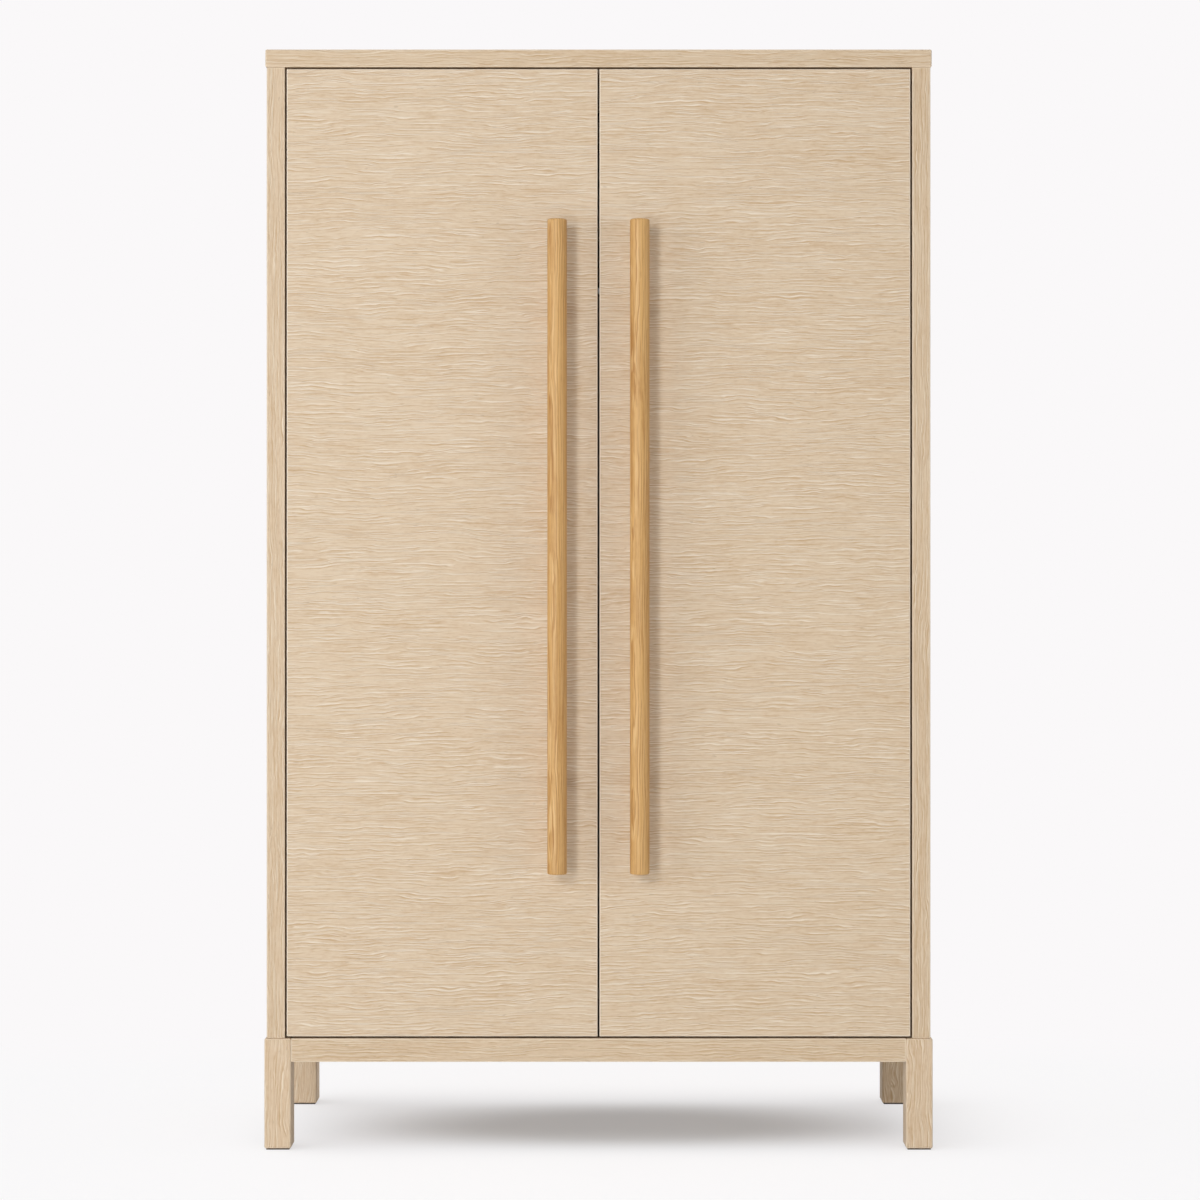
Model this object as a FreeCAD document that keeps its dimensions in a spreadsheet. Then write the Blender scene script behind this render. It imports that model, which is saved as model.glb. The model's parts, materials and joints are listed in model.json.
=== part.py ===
import FreeCAD, Part
import os

import Sketcher
from FreeCAD import Vector

# A free-standing wardrobe with two flush doors on a four-legged base.
# The front faces -Y, +Z is up, and the origin is on the floor under the middle of the whole outline.
# Lengths are in millimetres.

# Driving dimensions: name, number, meaning
SIZES = [
    ("overall_width", 1100, "over the outer faces of the legs"),
    ("overall_height", 1811, "floor to the upper face of the top"),
    ("case_depth", 546.5, "front to back of a side panel"),
    ("side_thickness", 30, "side panel"),
    ("side_round", 1.5, "eased edges of a side panel"),
    ("top_thickness", 29, "top panel"),
    ("top_overhang", 2, "top panel past the sides and the door fronts"),
    ("top_round", 2.5, "eased edges of the top"),
    ("leg_proud", 3.5, "leg past the side panel and the door fronts"),
    ("leg_width", 44, "leg, seen from the front"),
    ("leg_depth", 60, "leg, seen from the side"),
    ("leg_height", 181, "leg without its glide"),
    ("leg_round", 3, "eased edges of a leg"),
    ("glide_height", 2, "pad under a leg"),
    ("glide_inset", 3, "pad edge to leg face"),
    ("apron_height", 38.5, "rail between two legs"),
    ("apron_thickness", 28, "rail between two legs"),
    ("apron_recess", 1.5, "apron face behind the leg face"),
    ("apron_rebate", 14, "width of the ledge that carries the floor panel"),
    ("apron_round", 1, "eased outer edges of an apron"),
    ("cross_rail_width", 40, "rail under the middle of the floor panel"),
    ("bottom_thickness", 18, "floor panel"),
    ("panel_gap", 0.5, "loose fit of a panel in its rebate"),
    ("back_thickness", 6, "back panel"),
    ("back_inset", 2, "back panel behind the rear edges of the case"),
    ("back_rebate", 12, "width of the rebate for the back panel"),
    ("rail_height", 70, "rails under the top"),
    ("rail_thickness", 20, "rails under the top"),
    ("rail_setback", 36, "door front to front rail"),
    ("wall_hole", 6, "hole for a wall screw"),
    ("wall_hole_spread", 800, "between the two wall holes"),
    ("wall_hole_drop", 45, "wall hole below the top"),
    ("shelf_level", 1317, "floor panel to the underside of the shelf"),
    ("shelf_thickness", 22, "shelf"),
    ("shelf_setback", 75, "door front to shelf"),
    ("shelf_round", 2, "eased front edges of the shelf"),
    ("pin_hole_rows", 5, "rows of shelf pin holes"),
    ("pin_hole_pitch", 32, "between two rows"),
    ("pin_hole_inset", 70, "shelf edge to pin hole"),
    ("shelf_pin", 5, "diameter of a shelf pin"),
    ("shelf_pin_reach", 9, "shelf pin into the case"),
    ("rod_diameter", 25, "hanging rail tube"),
    ("rod_wall", 1.5, "hanging rail tube"),
    ("rod_drop", 60, "shelf underside to the middle of the hanging rail"),
    ("socket_flange", 54, "diameter of a rail socket's flange"),
    ("socket_plate", 3, "thickness of the flange"),
    ("socket_wall", 3, "ring round the end of the rail"),
    ("socket_length", 16, "ring round the end of the rail"),
    ("socket_screws", 3, "screws in a rail socket"),
    ("socket_screw_radius", 21.5, "ring of screws in a rail socket"),
    ("door_gap", 3, "gap round and between the doors"),
    ("door_thickness", 22, "door"),
    ("door_round", 1.5, "eased edges of a door"),
    ("open_angle", 100, "degrees that a door opens"),
    ("bar_diameter", 32, "handle bar"),
    ("bar_length", 1070, "handle bar"),
    ("bar_round", 3, "rounded ends of a handle bar"),
    ("bar_rise", 271, "door bottom to the low end of the handle bar"),
    ("bar_inset", 66, "closing edge of the door to the middle of the bar"),
    ("handle_gap", 30, "finger room between bar and door"),
    ("post_count", 2, "posts behind a handle bar"),
    ("post_diameter", 16, "handle post"),
    ("post_inset", 150, "end of the bar to the post"),
    ("post_seat", 10, "post let into the bar"),
    ("bolt_diameter", 5, "handle bolt"),
    ("bolt_grip", 22, "handle bolt into the post"),
    ("bolt_head", 10, "head diameter of a handle bolt"),
    ("bolt_head_height", 3.5, "head of a handle bolt"),
    ("hinge_count", 4, "hinges on a door"),
    ("hinge_inset", 100, "end of the door to the middle of the first hinge"),
    ("cup_diameter", 35, "hinge cup"),
    ("cup_depth", 14, "hinge cup below the door's inner face"),
    ("cup_wall", 0.8, "hinge cup"),
    ("cup_rim", 1, "rim past the bore, and its thickness"),
    ("cup_edge", 4, "least wood between cup and door edge"),
    ("cup_bore_room", 0.3, "bore below the cup"),
    ("ear_spacing", 48, "between the two screws of a cup"),
    ("ear_width", 14, "plate that carries the screws of a cup"),
    ("pin_diameter", 3.5, "hinge pin"),
    ("eye_wall", 0.95, "arm round the hinge pin"),
    ("eye_room", 0.45, "arm's eye above the cup floor"),
    ("corner_room", 0.4, "door corner to side panel as it swings"),
    ("swing_room", 1, "door to hinge arm as it swings"),
    ("arm_width", 12, "hinge arm"),
    ("arm_thickness", 2, "hinge arm"),
    ("arm_length", 60, "hinge arm along the side panel"),
    ("arm_bend", 1, "inner radius of a bend in the hinge arm"),
    ("plate_thickness", 3, "hinge mounting plate"),
    ("plate_width", 14, "hinge mounting plate"),
    ("plate_lead", 6, "bend of the arm to the front of the plate"),
    ("wing_height", 46, "wings of the mounting plate"),
    ("wing_width", 15, "wings of the mounting plate"),
    ("wing_screw_spacing", 32, "between the two screws of a plate"),
    ("arm_screw_inset", 10, "end of the arm to the clamp screw"),
    ("catch_spread", 120, "between the two catches"),
    ("catch_drop", 25, "top panel to catch housing"),
    ("catch_width", 46, "catch housing"),
    ("catch_height", 14, "catch housing"),
    ("catch_room", 0.4, "catch to strike plate"),
    ("magnet_width", 22, "magnet in the catch"),
    ("magnet_height", 8, "magnet in the catch"),
    ("magnet_depth", 7, "magnet in the catch"),
    ("strike_thickness", 1.5, "strike plate"),
    ("strike_width", 26, "strike plate"),
    ("strike_height", 36, "strike plate"),
    ("strike_screw_inset", 5.5, "end of the strike plate to its screw"),
    ("dowel_diameter", 8, "wooden dowel"),
    ("dowel_length", 30, "wooden dowel"),
    ("dowel_seat", 12, "dowel into the face of a panel"),
    ("dowel_inset", 150, "front or back of the case to a top dowel"),
    ("dowel_spacing", 16, "between the two dowels of an apron"),
    ("rail_dowel_spacing", 36, "between the two dowels of a rail"),
    ("cam_diameter", 15, "cam lock"),
    ("cam_height", 12.5, "cam lock"),
    ("cam_drop", 34, "top panel to the middle of the cam"),
    ("cam_inset", 100, "front or back of the case to a cam"),
    ("cam_bolt_axis", 8, "inner face of the side to the cam bolt"),
    ("cam_bolt_diameter", 6, "cam bolt"),
    ("cam_bolt_head", 7, "cam bolt"),
    ("cam_bolt_thread", 11, "cam bolt into the top"),
    ("base_screw", 5, "screw from the apron up into the side"),
    ("base_screw_grip", 30, "base screw into the side panel"),
    ("base_screw_head", 9, "head diameter of a base screw"),
    ("base_screw_head_height", 4, "head of a base screw"),
    ("base_screw_sink", 5, "depth of its counterbore"),
    ("base_screw_spread", 280, "between the two base screws of a side"),
    ("small_screw", 3.5, "wood screw of the fittings"),
    ("small_screw_grip", 12, "wood screw into the wood"),
    ("small_head", 6.5, "head diameter of that screw"),
    ("small_head_height", 1.8, "head of that screw"),
    ("back_screw_rows", 6, "screws up each side of the back panel"),
    ("back_screw_columns", 5, "screws along the top of the back panel"),
    ("back_screw_inset", 60, "end of the row to its first screw"),
    ("fit_clearance", 0.05, "radial play of a pin, screw or dowel in its hole"),
]

# Places and lengths that follow from the driving dimensions.
# X is measured from the middle, so a half-width serves both sides.
HALF_WIDTH = "(sizes.overall_width / 2)"
CASE_HALF = f"({HALF_WIDTH} - sizes.leg_proud)"
INNER_HALF = f"({CASE_HALF} - sizes.side_thickness)"
SIDE_MIDDLE = f"({CASE_HALF} - sizes.side_thickness / 2)"
CASE_FRONT = "((sizes.handle_gap + sizes.bar_diameter - sizes.case_depth) / 2)"
CASE_BACK = f"({CASE_FRONT} + sizes.case_depth)"
BACK_FACE = f"({CASE_BACK} - sizes.back_inset - sizes.back_thickness)"
LEG_TOP = "(sizes.glide_height + sizes.leg_height)"
TOP_UNDER = "(sizes.overall_height - sizes.top_thickness)"
SIDE_HEIGHT = f"({TOP_UNDER} - {LEG_TOP})"

# Base frame
LEG_FRONT = f"({CASE_FRONT} - sizes.leg_proud)"
LEG_INNER = f"({HALF_WIDTH} - sizes.leg_width)"
BASE_MIDDLE = f"(({LEG_FRONT} + {CASE_BACK}) / 2)"
APRON_OUTER = f"({HALF_WIDTH} - sizes.apron_recess)"
APRON_LIP = "(sizes.apron_thickness - sizes.apron_rebate)"
APRON_FRONT = f"({LEG_FRONT} + sizes.apron_recess)"
APRON_LOW = f"({LEG_TOP} - sizes.apron_height)"
APRON_DOWEL_LOW = f"({LEG_TOP} - sizes.apron_height / 2 - sizes.dowel_spacing / 2)"
LEDGE = f"({LEG_TOP} - sizes.bottom_thickness)"
BASE_SCREW_X = f"({APRON_OUTER} - {APRON_LIP} - sizes.apron_rebate / 2)"

# Doors and handles
DOOR_EDGE = f"({INNER_HALF} - sizes.door_gap)"
DOOR_BACK = f"({CASE_FRONT} + sizes.door_thickness)"
DOOR_LOW = f"({LEG_TOP} + sizes.door_gap)"
DOOR_HEIGHT = f"({SIDE_HEIGHT} - 2 * sizes.door_gap)"
BAR_X = "(sizes.door_gap / 2 + sizes.bar_inset)"
BAR_BACK = f"({CASE_FRONT} - sizes.handle_gap)"
BAR_LOW = f"({DOOR_LOW} + sizes.bar_rise)"

# Hinge: the pin stands so far in from the door edge that the front corner clears the side panel,
# and the arm hooks so far into the cup that the door clears it when it is fully open.
CUP_RADIUS = "(sizes.cup_diameter / 2 - sizes.fit_clearance)"
CUP_INNER = f"({CUP_RADIUS} - sizes.cup_wall)"
EYE_RADIUS = "(sizes.pin_diameter / 2 + sizes.fit_clearance + sizes.eye_wall)"
PIN_BEHIND = f"(sizes.cup_depth - sizes.cup_wall - sizes.eye_room - {EYE_RADIUS})"
PIN_DEPTH = f"(sizes.door_thickness - {PIN_BEHIND})"
SIDE_PLAY = "(sizes.door_gap - sizes.corner_room)"
CORNER_REACH = f"((({PIN_DEPTH} - sizes.door_round)^2 - {SIDE_PLAY}^2) / (2 * {SIDE_PLAY}))"
CUP_REACH = "(sizes.cup_diameter / 2 + sizes.cup_edge)"
PIN_SETBACK = f"max(sizes.door_round + {CORNER_REACH}; {CUP_REACH})"
PIN_X = f"({DOOR_EDGE} - {PIN_SETBACK})"
PIN_Y = f"({CASE_FRONT} + {PIN_DEPTH})"
PAST_SQUARE = "(sizes.open_angle - 90)"
HOOK_SWING = f"({PIN_SETBACK} * sin({PAST_SQUARE}) + {PIN_BEHIND} * cos({PAST_SQUARE}))"
HOOK_REACH = f"({HOOK_SWING} + sizes.swing_room)"
HOOK_RISE = f"(sqrt({PIN_SETBACK}^2 + {PIN_BEHIND}^2) + sizes.swing_room)"
CUP_ROOM = f"sqrt({CUP_INNER}^2 - (sizes.arm_width / 2)^2)"
CUP_SHIFT = f"({HOOK_REACH} + sizes.arm_thickness + sizes.swing_room / 2 - {CUP_ROOM})"
CUP_X = f"({PIN_X} - {CUP_SHIFT})"
HINGE_LOW = f"({DOOR_LOW} + sizes.hinge_inset)"
HINGE_SPAN = f"({DOOR_HEIGHT} - 2 * sizes.hinge_inset)"
ARM_FRONT = f"({PIN_Y} + {HOOK_RISE})"
ARM_BACK = f"({ARM_FRONT} + sizes.arm_length)"
WING_MIDDLE = f"({ARM_FRONT} + sizes.arm_length / 2)"
PLATE_FACE = f"({INNER_HALF} - sizes.plate_thickness)"
ARM_FACE = f"({PLATE_FACE} - sizes.arm_thickness)"

# Inside of the case
RAIL_FRONT = f"({CASE_FRONT} + sizes.rail_setback)"
RAIL_LOW = f"({TOP_UNDER} - sizes.rail_height)"
SHELF_UNDER = f"({LEG_TOP} + sizes.shelf_level)"
SHELF_FRONT = f"({CASE_FRONT} + sizes.shelf_setback)"
SHELF_BACK = f"({BACK_FACE} - sizes.panel_gap)"
SHELF_PIN_Z = f"({SHELF_UNDER} - sizes.shelf_pin / 2)"
ROD_Y = f"(({DOOR_BACK} + {BACK_FACE}) / 2)"
ROD_Z = f"({SHELF_UNDER} - sizes.rod_drop)"
CAM_Z = f"({TOP_UNDER} - sizes.cam_drop)"
CAM_BOLT_X = f"({INNER_HALF} + sizes.cam_bolt_axis)"
STRIKE_FACE = f"({DOOR_BACK} + sizes.strike_thickness)"
CATCH_FACE = f"({STRIKE_FACE} + sizes.catch_room)"
CATCH_X = "(sizes.catch_spread / 2)"
CATCH_Z = f"({TOP_UNDER} - sizes.catch_drop - sizes.catch_height / 2)"
CATCH_SCREW_X = "((sizes.catch_width + sizes.magnet_width) / 4)"
BACK_SCREW_X = f"({INNER_HALF} + sizes.back_rebate / 2)"
BACK_SCREW_Y = f"({CASE_BACK} - sizes.back_inset)"

# Holes: in the face of a panel, in its edge, and half of a dowel
FACE_HOLE = "(sizes.dowel_seat + sizes.panel_gap)"
EDGE_HOLE = "(sizes.dowel_length - sizes.dowel_seat + sizes.panel_gap)"
HALF_HOLE = "(sizes.dowel_length / 2 + sizes.panel_gap)"
SCREW_HOLE = "(sizes.small_screw + 2 * sizes.fit_clearance)"
SCREW_HOLE_DEPTH = "(sizes.small_screw_grip + sizes.panel_gap)"
HEAD_SINK = "(sizes.small_head_height + sizes.panel_gap)"
CAM_BOLT_HOLE = "(sizes.cam_bolt_thread + sizes.panel_gap)"
CAM_BOLT_REACH = "(sizes.cam_drop + sizes.cam_bolt_head / 2 + sizes.panel_gap)"

# Middles of rails, legs and dowels, and the wall holes
FRONT_RAIL_MIDDLE = f"({RAIL_FRONT} + sizes.rail_thickness / 2)"
REAR_RAIL_MIDDLE = f"({BACK_FACE} - sizes.rail_thickness / 2)"
LEG_MIDDLES = (f"({LEG_FRONT} + sizes.leg_depth / 2)", f"({CASE_BACK} - sizes.leg_depth / 2)")
FRONT_DOWEL_Y = f"({APRON_FRONT} + {APRON_LIP} / 2)"
SIDE_DOWEL_X = f"({APRON_OUTER} - {APRON_LIP} / 2)"
APRON_INSIDE = f"({APRON_FRONT} + sizes.apron_thickness)"
CROSS_LEVEL = f"(({APRON_LOW} + {LEDGE}) / 2)"
CROSS_DOWELS = [(f"({sign}sizes.cross_rail_width / 4)", CROSS_LEVEL) for sign in "-+"]
WALL_LEVEL = f"({TOP_UNDER} - sizes.wall_hole_drop)"
WALL_HOLES = [(f"({sign}sizes.wall_hole_spread / 2)", WALL_LEVEL) for sign in "-+"]

# Plane square to each axis, and whether it faces along the axis or against it
PLANES = {"X": ("YZ_Plane", 1), "Y": ("XZ_Plane", -1), "Z": ("XY_Plane", 1)}
LEFT = -1
RIGHT = 1
SIDES = (LEFT, RIGHT)

# An edge this close to a face lies on it
NEAR = 0.001

doc = FreeCAD.newDocument("wardrobe")
sheet = doc.addObject("Spreadsheet::Sheet", "sizes")
pieces = []


def fill_sheet():
    """Write the driving dimensions into the sheet, one row each."""
    for row, (name, number, meaning) in enumerate(SIZES, 1):
        sheet.set(f"A{row}", name)
        sheet.set(f"B{row}", str(number))
        sheet.setAlias(f"B{row}", name)
        sheet.set(f"C{row}", meaning)
    doc.recompute()


def value(expression):
    """Return the number that an expression gives now."""
    return float(sheet.evalExpression(expression))


def count(name):
    """Return a whole number from the sheet."""
    return int(round(value(f"sizes.{name}")))


def bore(diameter):
    """Return the diameter of the hole in which a round piece sits."""
    return f"({diameter} + 2 * sizes.fit_clearance)"


def times(side, half_width):
    """Return the X of a place on the left or right side."""
    return f"({side} * {half_width})"


def new_body(label, is_piece=True):
    """Start a body, which is a piece of the wardrobe unless it is only part of a group."""
    body = doc.addObject("PartDesign::Body", label)
    body.AllowCompound = True
    if is_piece:
        pieces.append(body)
    return body


def origin_feature(body, role):
    """Find one of the body's own planes or axes."""
    return next(feature for feature in body.Origin.OriginFeatures if feature.Role == role)


def new_sketch(body, axis, level):
    """Start a sketch square to an axis, at a level along it."""
    role, facing = PLANES[axis]
    sketch = body.newObject("Sketcher::SketchObject", f"{body.Name}_sketch")
    sketch.AttachmentSupport = (origin_feature(body, role), [""])
    sketch.MapMode = "FlatFace"
    sketch.setExpression("AttachmentOffset.Base.z", f"{facing} * {level}")
    return sketch


def place(sketch, geometry, point, across, up):
    """Tie a point of the sketch to two expressions."""
    for kind, distance in (("DistanceX", across), ("DistanceY", up)):
        index = sketch.addConstraint(Sketcher.Constraint(kind, -1, 1, geometry, point, value(distance)))
        sketch.setExpression(f"Constraints[{index}]", distance)


def draw_outline(sketch, corners):
    """Draw a closed outline through corners that are each a pair of expressions."""
    points = [Vector(value(across), value(up), 0) for across, up in corners]
    total = len(corners)
    lines = [sketch.addGeometry(Part.LineSegment(points[i], points[(i + 1) % total])) for i in range(total)]
    for i, line in enumerate(lines):
        sketch.addConstraint(Sketcher.Constraint("Coincident", line, 2, lines[(i + 1) % total], 1))
    for line, (across, up) in zip(lines, corners):
        place(sketch, line, 1, across, up)


def draw_circle(sketch, across, up, diameter):
    """Draw a circle whose centre and diameter are expressions."""
    centre = Vector(value(across), value(up), 0)
    circle = sketch.addGeometry(Part.Circle(centre, Vector(0, 0, 1), value(diameter) / 2))
    place(sketch, circle, 3, across, up)
    index = sketch.addConstraint(Sketcher.Constraint("Diameter", circle, value(diameter)))
    sketch.setExpression(f"Constraints[{index}]", diameter)


def box_corners(low_across, high_across, low_up, high_up):
    """Return the four corners of a rectangle."""
    return [(low_across, low_up), (high_across, low_up), (high_across, high_up), (low_across, high_up)]


def pad(body, sketch, axis, length, towards):
    """Raise a sketch into solid along its axis, towards + or -."""
    feature = body.newObject("PartDesign::Pad", f"{body.Name}_pad")
    feature.Profile = sketch
    feature.Reversed = towards != PLANES[axis][1]
    feature.setExpression("Length", length)
    doc.recompute()


def pocket(body, sketch, axis, depth, towards):
    """Cut a sketch into the body along its axis, towards + or -."""
    before = body.Shape.Volume
    feature = body.newObject("PartDesign::Pocket", f"{body.Name}_pocket")
    feature.Profile = sketch
    feature.Reversed = towards == PLANES[axis][1]
    feature.setExpression("Length", depth)
    doc.recompute()
    if not body.Shape.Volume < before:
        raise RuntimeError(f"a pocket of {body.Label} cuts nothing")


def pad_outline(body, axis, level, corners, length, towards=1):
    """Add a prism."""
    sketch = new_sketch(body, axis, level)
    draw_outline(sketch, corners)
    pad(body, sketch, axis, length, towards)


def cut_outline(body, axis, level, corners, depth, towards=1):
    """Cut a prism."""
    sketch = new_sketch(body, axis, level)
    draw_outline(sketch, corners)
    pocket(body, sketch, axis, depth, towards)


def pad_rounds(body, axis, level, spots, diameter, length, towards=1):
    """Add a round rod at each spot."""
    sketch = new_sketch(body, axis, level)
    for across, up in spots:
        draw_circle(sketch, across, up, diameter)
    pad(body, sketch, axis, length, towards)


def drill(body, axis, level, spots, diameter, depth, towards=1):
    """Drill a hole at each spot."""
    sketch = new_sketch(body, axis, level)
    for across, up in spots:
        draw_circle(sketch, across, up, diameter)
    pocket(body, sketch, axis, depth, towards)


def add_block(body, low, high):
    """Add a block between two corners, each given as X, Y and Z."""
    corners = box_corners(low[0], high[0], low[1], high[1])
    pad_outline(body, "Z", low[2], corners, f"{high[2]} - {low[2]}")


def add_screws(body, axis, level, spots, grip, towards):
    """Add a small wood screw at each spot, its head on the level and its shank beyond."""
    pad_rounds(body, axis, level, spots, "sizes.small_head", "sizes.small_head_height", -towards)
    pad_rounds(body, axis, level, spots, "sizes.small_screw", grip, towards)


def ease(body, radius, wanted):
    """Round the edges that wanted picks."""
    base = body.Tip
    names = [f"Edge{i}" for i, edge in enumerate(base.Shape.Edges, 1) if wanted(edge.BoundBox)]
    feature = body.newObject("PartDesign::Fillet", f"{body.Name}_fillet")
    feature.Base = (base, names)
    feature.setExpression("Radius", radius)
    doc.recompute()


def repeat_up(body, span, number):
    """Repeat the whole body upwards over a span."""
    feature = body.newObject("PartDesign::LinearPattern", f"{body.Name}_pattern")
    feature.TransformMode = "Whole shape"
    feature.Direction = (origin_feature(body, "Z_Axis"), [""])
    feature.setExpression("Length", span)
    feature.setExpression("Occurrences", number)
    body.Tip = feature
    doc.recompute()


def mirror(label, source, normal=Vector(1, 0, 0), is_piece=True):
    """Make the opposite-handed copy of a piece."""
    copy = doc.addObject("Part::Mirroring", label)
    copy.Source = source
    copy.Normal = normal
    copy.setExpression("Base.y", BASE_MIDDLE)
    doc.recompute()
    if is_piece:
        pieces.append(copy)
    return copy


def both_sides(label, left_half):
    """Join the left half of a group and its mirror image in one piece."""
    whole = doc.addObject("Part::Compound", label)
    whole.Links = [left_half, mirror(f"{label}_right_half", left_half, is_piece=False)]
    doc.recompute()
    pieces.append(whole)


def spread(low, high, number):
    """Return evenly spaced places from low to high."""
    steps = max(number - 1, 1)
    return [f"({low} + ({high} - {low}) * {i} / {steps})" for i in range(number)]


def either_side(places):
    """Return places given on the right side, and their mirror images."""
    return [(times(side, across), along) for side in SIDES for across, along in places]


# Rows and rings of holes that several pieces share


def hinge_levels():
    """Heights of the hinges on a door."""
    return spread(HINGE_LOW, f"({HINGE_LOW} + {HINGE_SPAN})", count("hinge_count"))


def plate_screw_spots():
    """Screws of the hinge plates, as Y and Z."""
    half = "sizes.wing_screw_spacing / 2"
    return [(WING_MIDDLE, f"({level} {sign} {half})") for level in hinge_levels() for sign in "-+"]


def arm_screw_depths():
    """Y of the two screws that clamp an arm to its plate."""
    front = f"({ARM_FRONT} + sizes.plate_lead + sizes.arm_screw_inset)"
    return front, f"({ARM_BACK} - sizes.arm_screw_inset)"


def socket_screw_spots():
    """Ring of screws in a rail socket, as Y and Z."""
    number = count("socket_screws")
    turns = [f"(90 + {i} * 360 / {number})" for i in range(number)]
    radius = "sizes.socket_screw_radius"
    return [(f"({ROD_Y} + {radius} * cos({turn}))", f"({ROD_Z} + {radius} * sin({turn}))") for turn in turns]


def shelf_pin_depths():
    """Y of the front and rear shelf pins."""
    return f"({SHELF_FRONT} + sizes.pin_hole_inset)", f"({SHELF_BACK} - sizes.pin_hole_inset)"


def rail_dowel_spots(middle):
    """Dowels at the end of a rail whose middle is at this Y, as Y and Z."""
    half = "sizes.rail_dowel_spacing / 2"
    return [(middle, f"({RAIL_LOW} + sizes.rail_height / 2 {sign} {half})") for sign in "-+"]


def top_fixing_depths(inset):
    """Y of a front and a rear fixing of the top, at an inset from the case's ends."""
    return f"({CASE_FRONT} + {inset})", f"({CASE_BACK} - {inset})"


def back_screw_rows():
    """Heights of the screws up each side of the back panel."""
    low = f"({LEG_TOP} + sizes.back_screw_inset)"
    high = f"({TOP_UNDER} - sizes.back_screw_inset)"
    return spread(low, high, count("back_screw_rows"))


def back_screw_columns():
    """Screws of the back panel into the rear rail, as X and Z."""
    half = f"({INNER_HALF} - sizes.back_screw_inset)"
    height = f"({TOP_UNDER} - sizes.rail_height / 4)"
    return [(across, height) for across in spread(f"(-{half})", half, count("back_screw_columns"))]


def apron_dowel_levels():
    """Heights of the two dowels at the end of an apron."""
    return APRON_DOWEL_LOW, f"({APRON_DOWEL_LOW} + sizes.dowel_spacing)"


def base_screw_depths():
    """Y of the two base screws of a side."""
    half = "sizes.base_screw_spread / 2"
    return f"({BASE_MIDDLE} - {half})", f"({BASE_MIDDLE} + {half})"


def post_levels():
    """Heights of the posts behind a handle bar."""
    low = f"({BAR_LOW} + sizes.post_inset)"
    high = f"({BAR_LOW} + sizes.bar_length - sizes.post_inset)"
    return spread(low, high, count("post_count"))


def strike_screw_levels():
    """Heights of the two screws of a strike plate."""
    reach = "(sizes.strike_height / 2 - sizes.strike_screw_inset)"
    return f"({CATCH_Z} - {reach})", f"({CATCH_Z} + {reach})"


def catch_screw_spots():
    """Screws of the left catch, as X and Z."""
    return [(f"(-{CATCH_X} {sign} {CATCH_SCREW_X})", CATCH_Z) for sign in "-+"]


# Case


def make_top_panel():
    body = new_body("top_panel")
    half = f"({CASE_HALF} + sizes.top_overhang)"
    front = f"({CASE_FRONT} - sizes.top_overhang)"
    add_block(body, (f"(-{half})", front, TOP_UNDER), (half, CASE_BACK, "sizes.overall_height"))
    back = value(CASE_BACK)
    ease(body, "sizes.top_round", lambda box: box.YMin < back - NEAR)
    groove_half = f"({INNER_HALF} + sizes.back_rebate)"
    groove = box_corners(f"(-{groove_half})", groove_half, BACK_FACE, CASE_BACK)
    cut_outline(body, "Z", TOP_UNDER, groove, "sizes.back_rebate")
    dowels = either_side([(SIDE_MIDDLE, depth) for depth in top_fixing_depths("sizes.dowel_inset")])
    drill(body, "Z", TOP_UNDER, dowels, bore("sizes.dowel_diameter"), FACE_HOLE)
    bolts = either_side([(CAM_BOLT_X, depth) for depth in top_fixing_depths("sizes.cam_inset")])
    drill(body, "Z", TOP_UNDER, bolts, bore("sizes.cam_bolt_diameter"), CAM_BOLT_HOLE)


def make_side_panels():
    body = new_body("left_side_panel")
    outer = f"(-{CASE_HALF})"
    inner = f"(-{INNER_HALF})"
    add_block(body, (outer, CASE_FRONT, LEG_TOP), (inner, CASE_BACK, TOP_UNDER))
    front_face = value(CASE_FRONT)
    outer_face = value(outer)
    ease(body, "sizes.side_round", lambda box: box.YMax < front_face + NEAR or box.XMax < outer_face + NEAR)
    rebate = box_corners(f"({inner} - sizes.back_rebate)", inner, BACK_FACE, CASE_BACK)
    cut_outline(body, "Z", LEG_TOP, rebate, SIDE_HEIGHT)
    drill_side_edges(body)
    drill_side_face(body, inner)
    mirror("right_side_panel", body)


def drill_side_edges(body):
    """Drill the upper, lower and rear edges of the left side panel."""
    dowel = bore("sizes.dowel_diameter")
    middle = f"(-{SIDE_MIDDLE})"
    top_dowels = [(middle, depth) for depth in top_fixing_depths("sizes.dowel_inset")]
    drill(body, "Z", TOP_UNDER, top_dowels, dowel, EDGE_HOLE, -1)
    cam_bolts = [(f"(-{CAM_BOLT_X})", depth) for depth in top_fixing_depths("sizes.cam_inset")]
    drill(body, "Z", TOP_UNDER, cam_bolts, bore("sizes.cam_bolt_head"), CAM_BOLT_REACH, -1)
    leg_dowels = [(middle, depth) for depth in LEG_MIDDLES]
    drill(body, "Z", LEG_TOP, leg_dowels, dowel, HALF_HOLE)
    screws = [(f"(-{BASE_SCREW_X})", depth) for depth in base_screw_depths()]
    drill(body, "Z", LEG_TOP, screws, bore("sizes.base_screw"), "sizes.base_screw_grip + sizes.panel_gap")
    back_screws = [(f"(-{BACK_SCREW_X})", row) for row in back_screw_rows()]
    drill(body, "Y", BACK_FACE, back_screws, SCREW_HOLE, SCREW_HOLE_DEPTH, -1)


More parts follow.
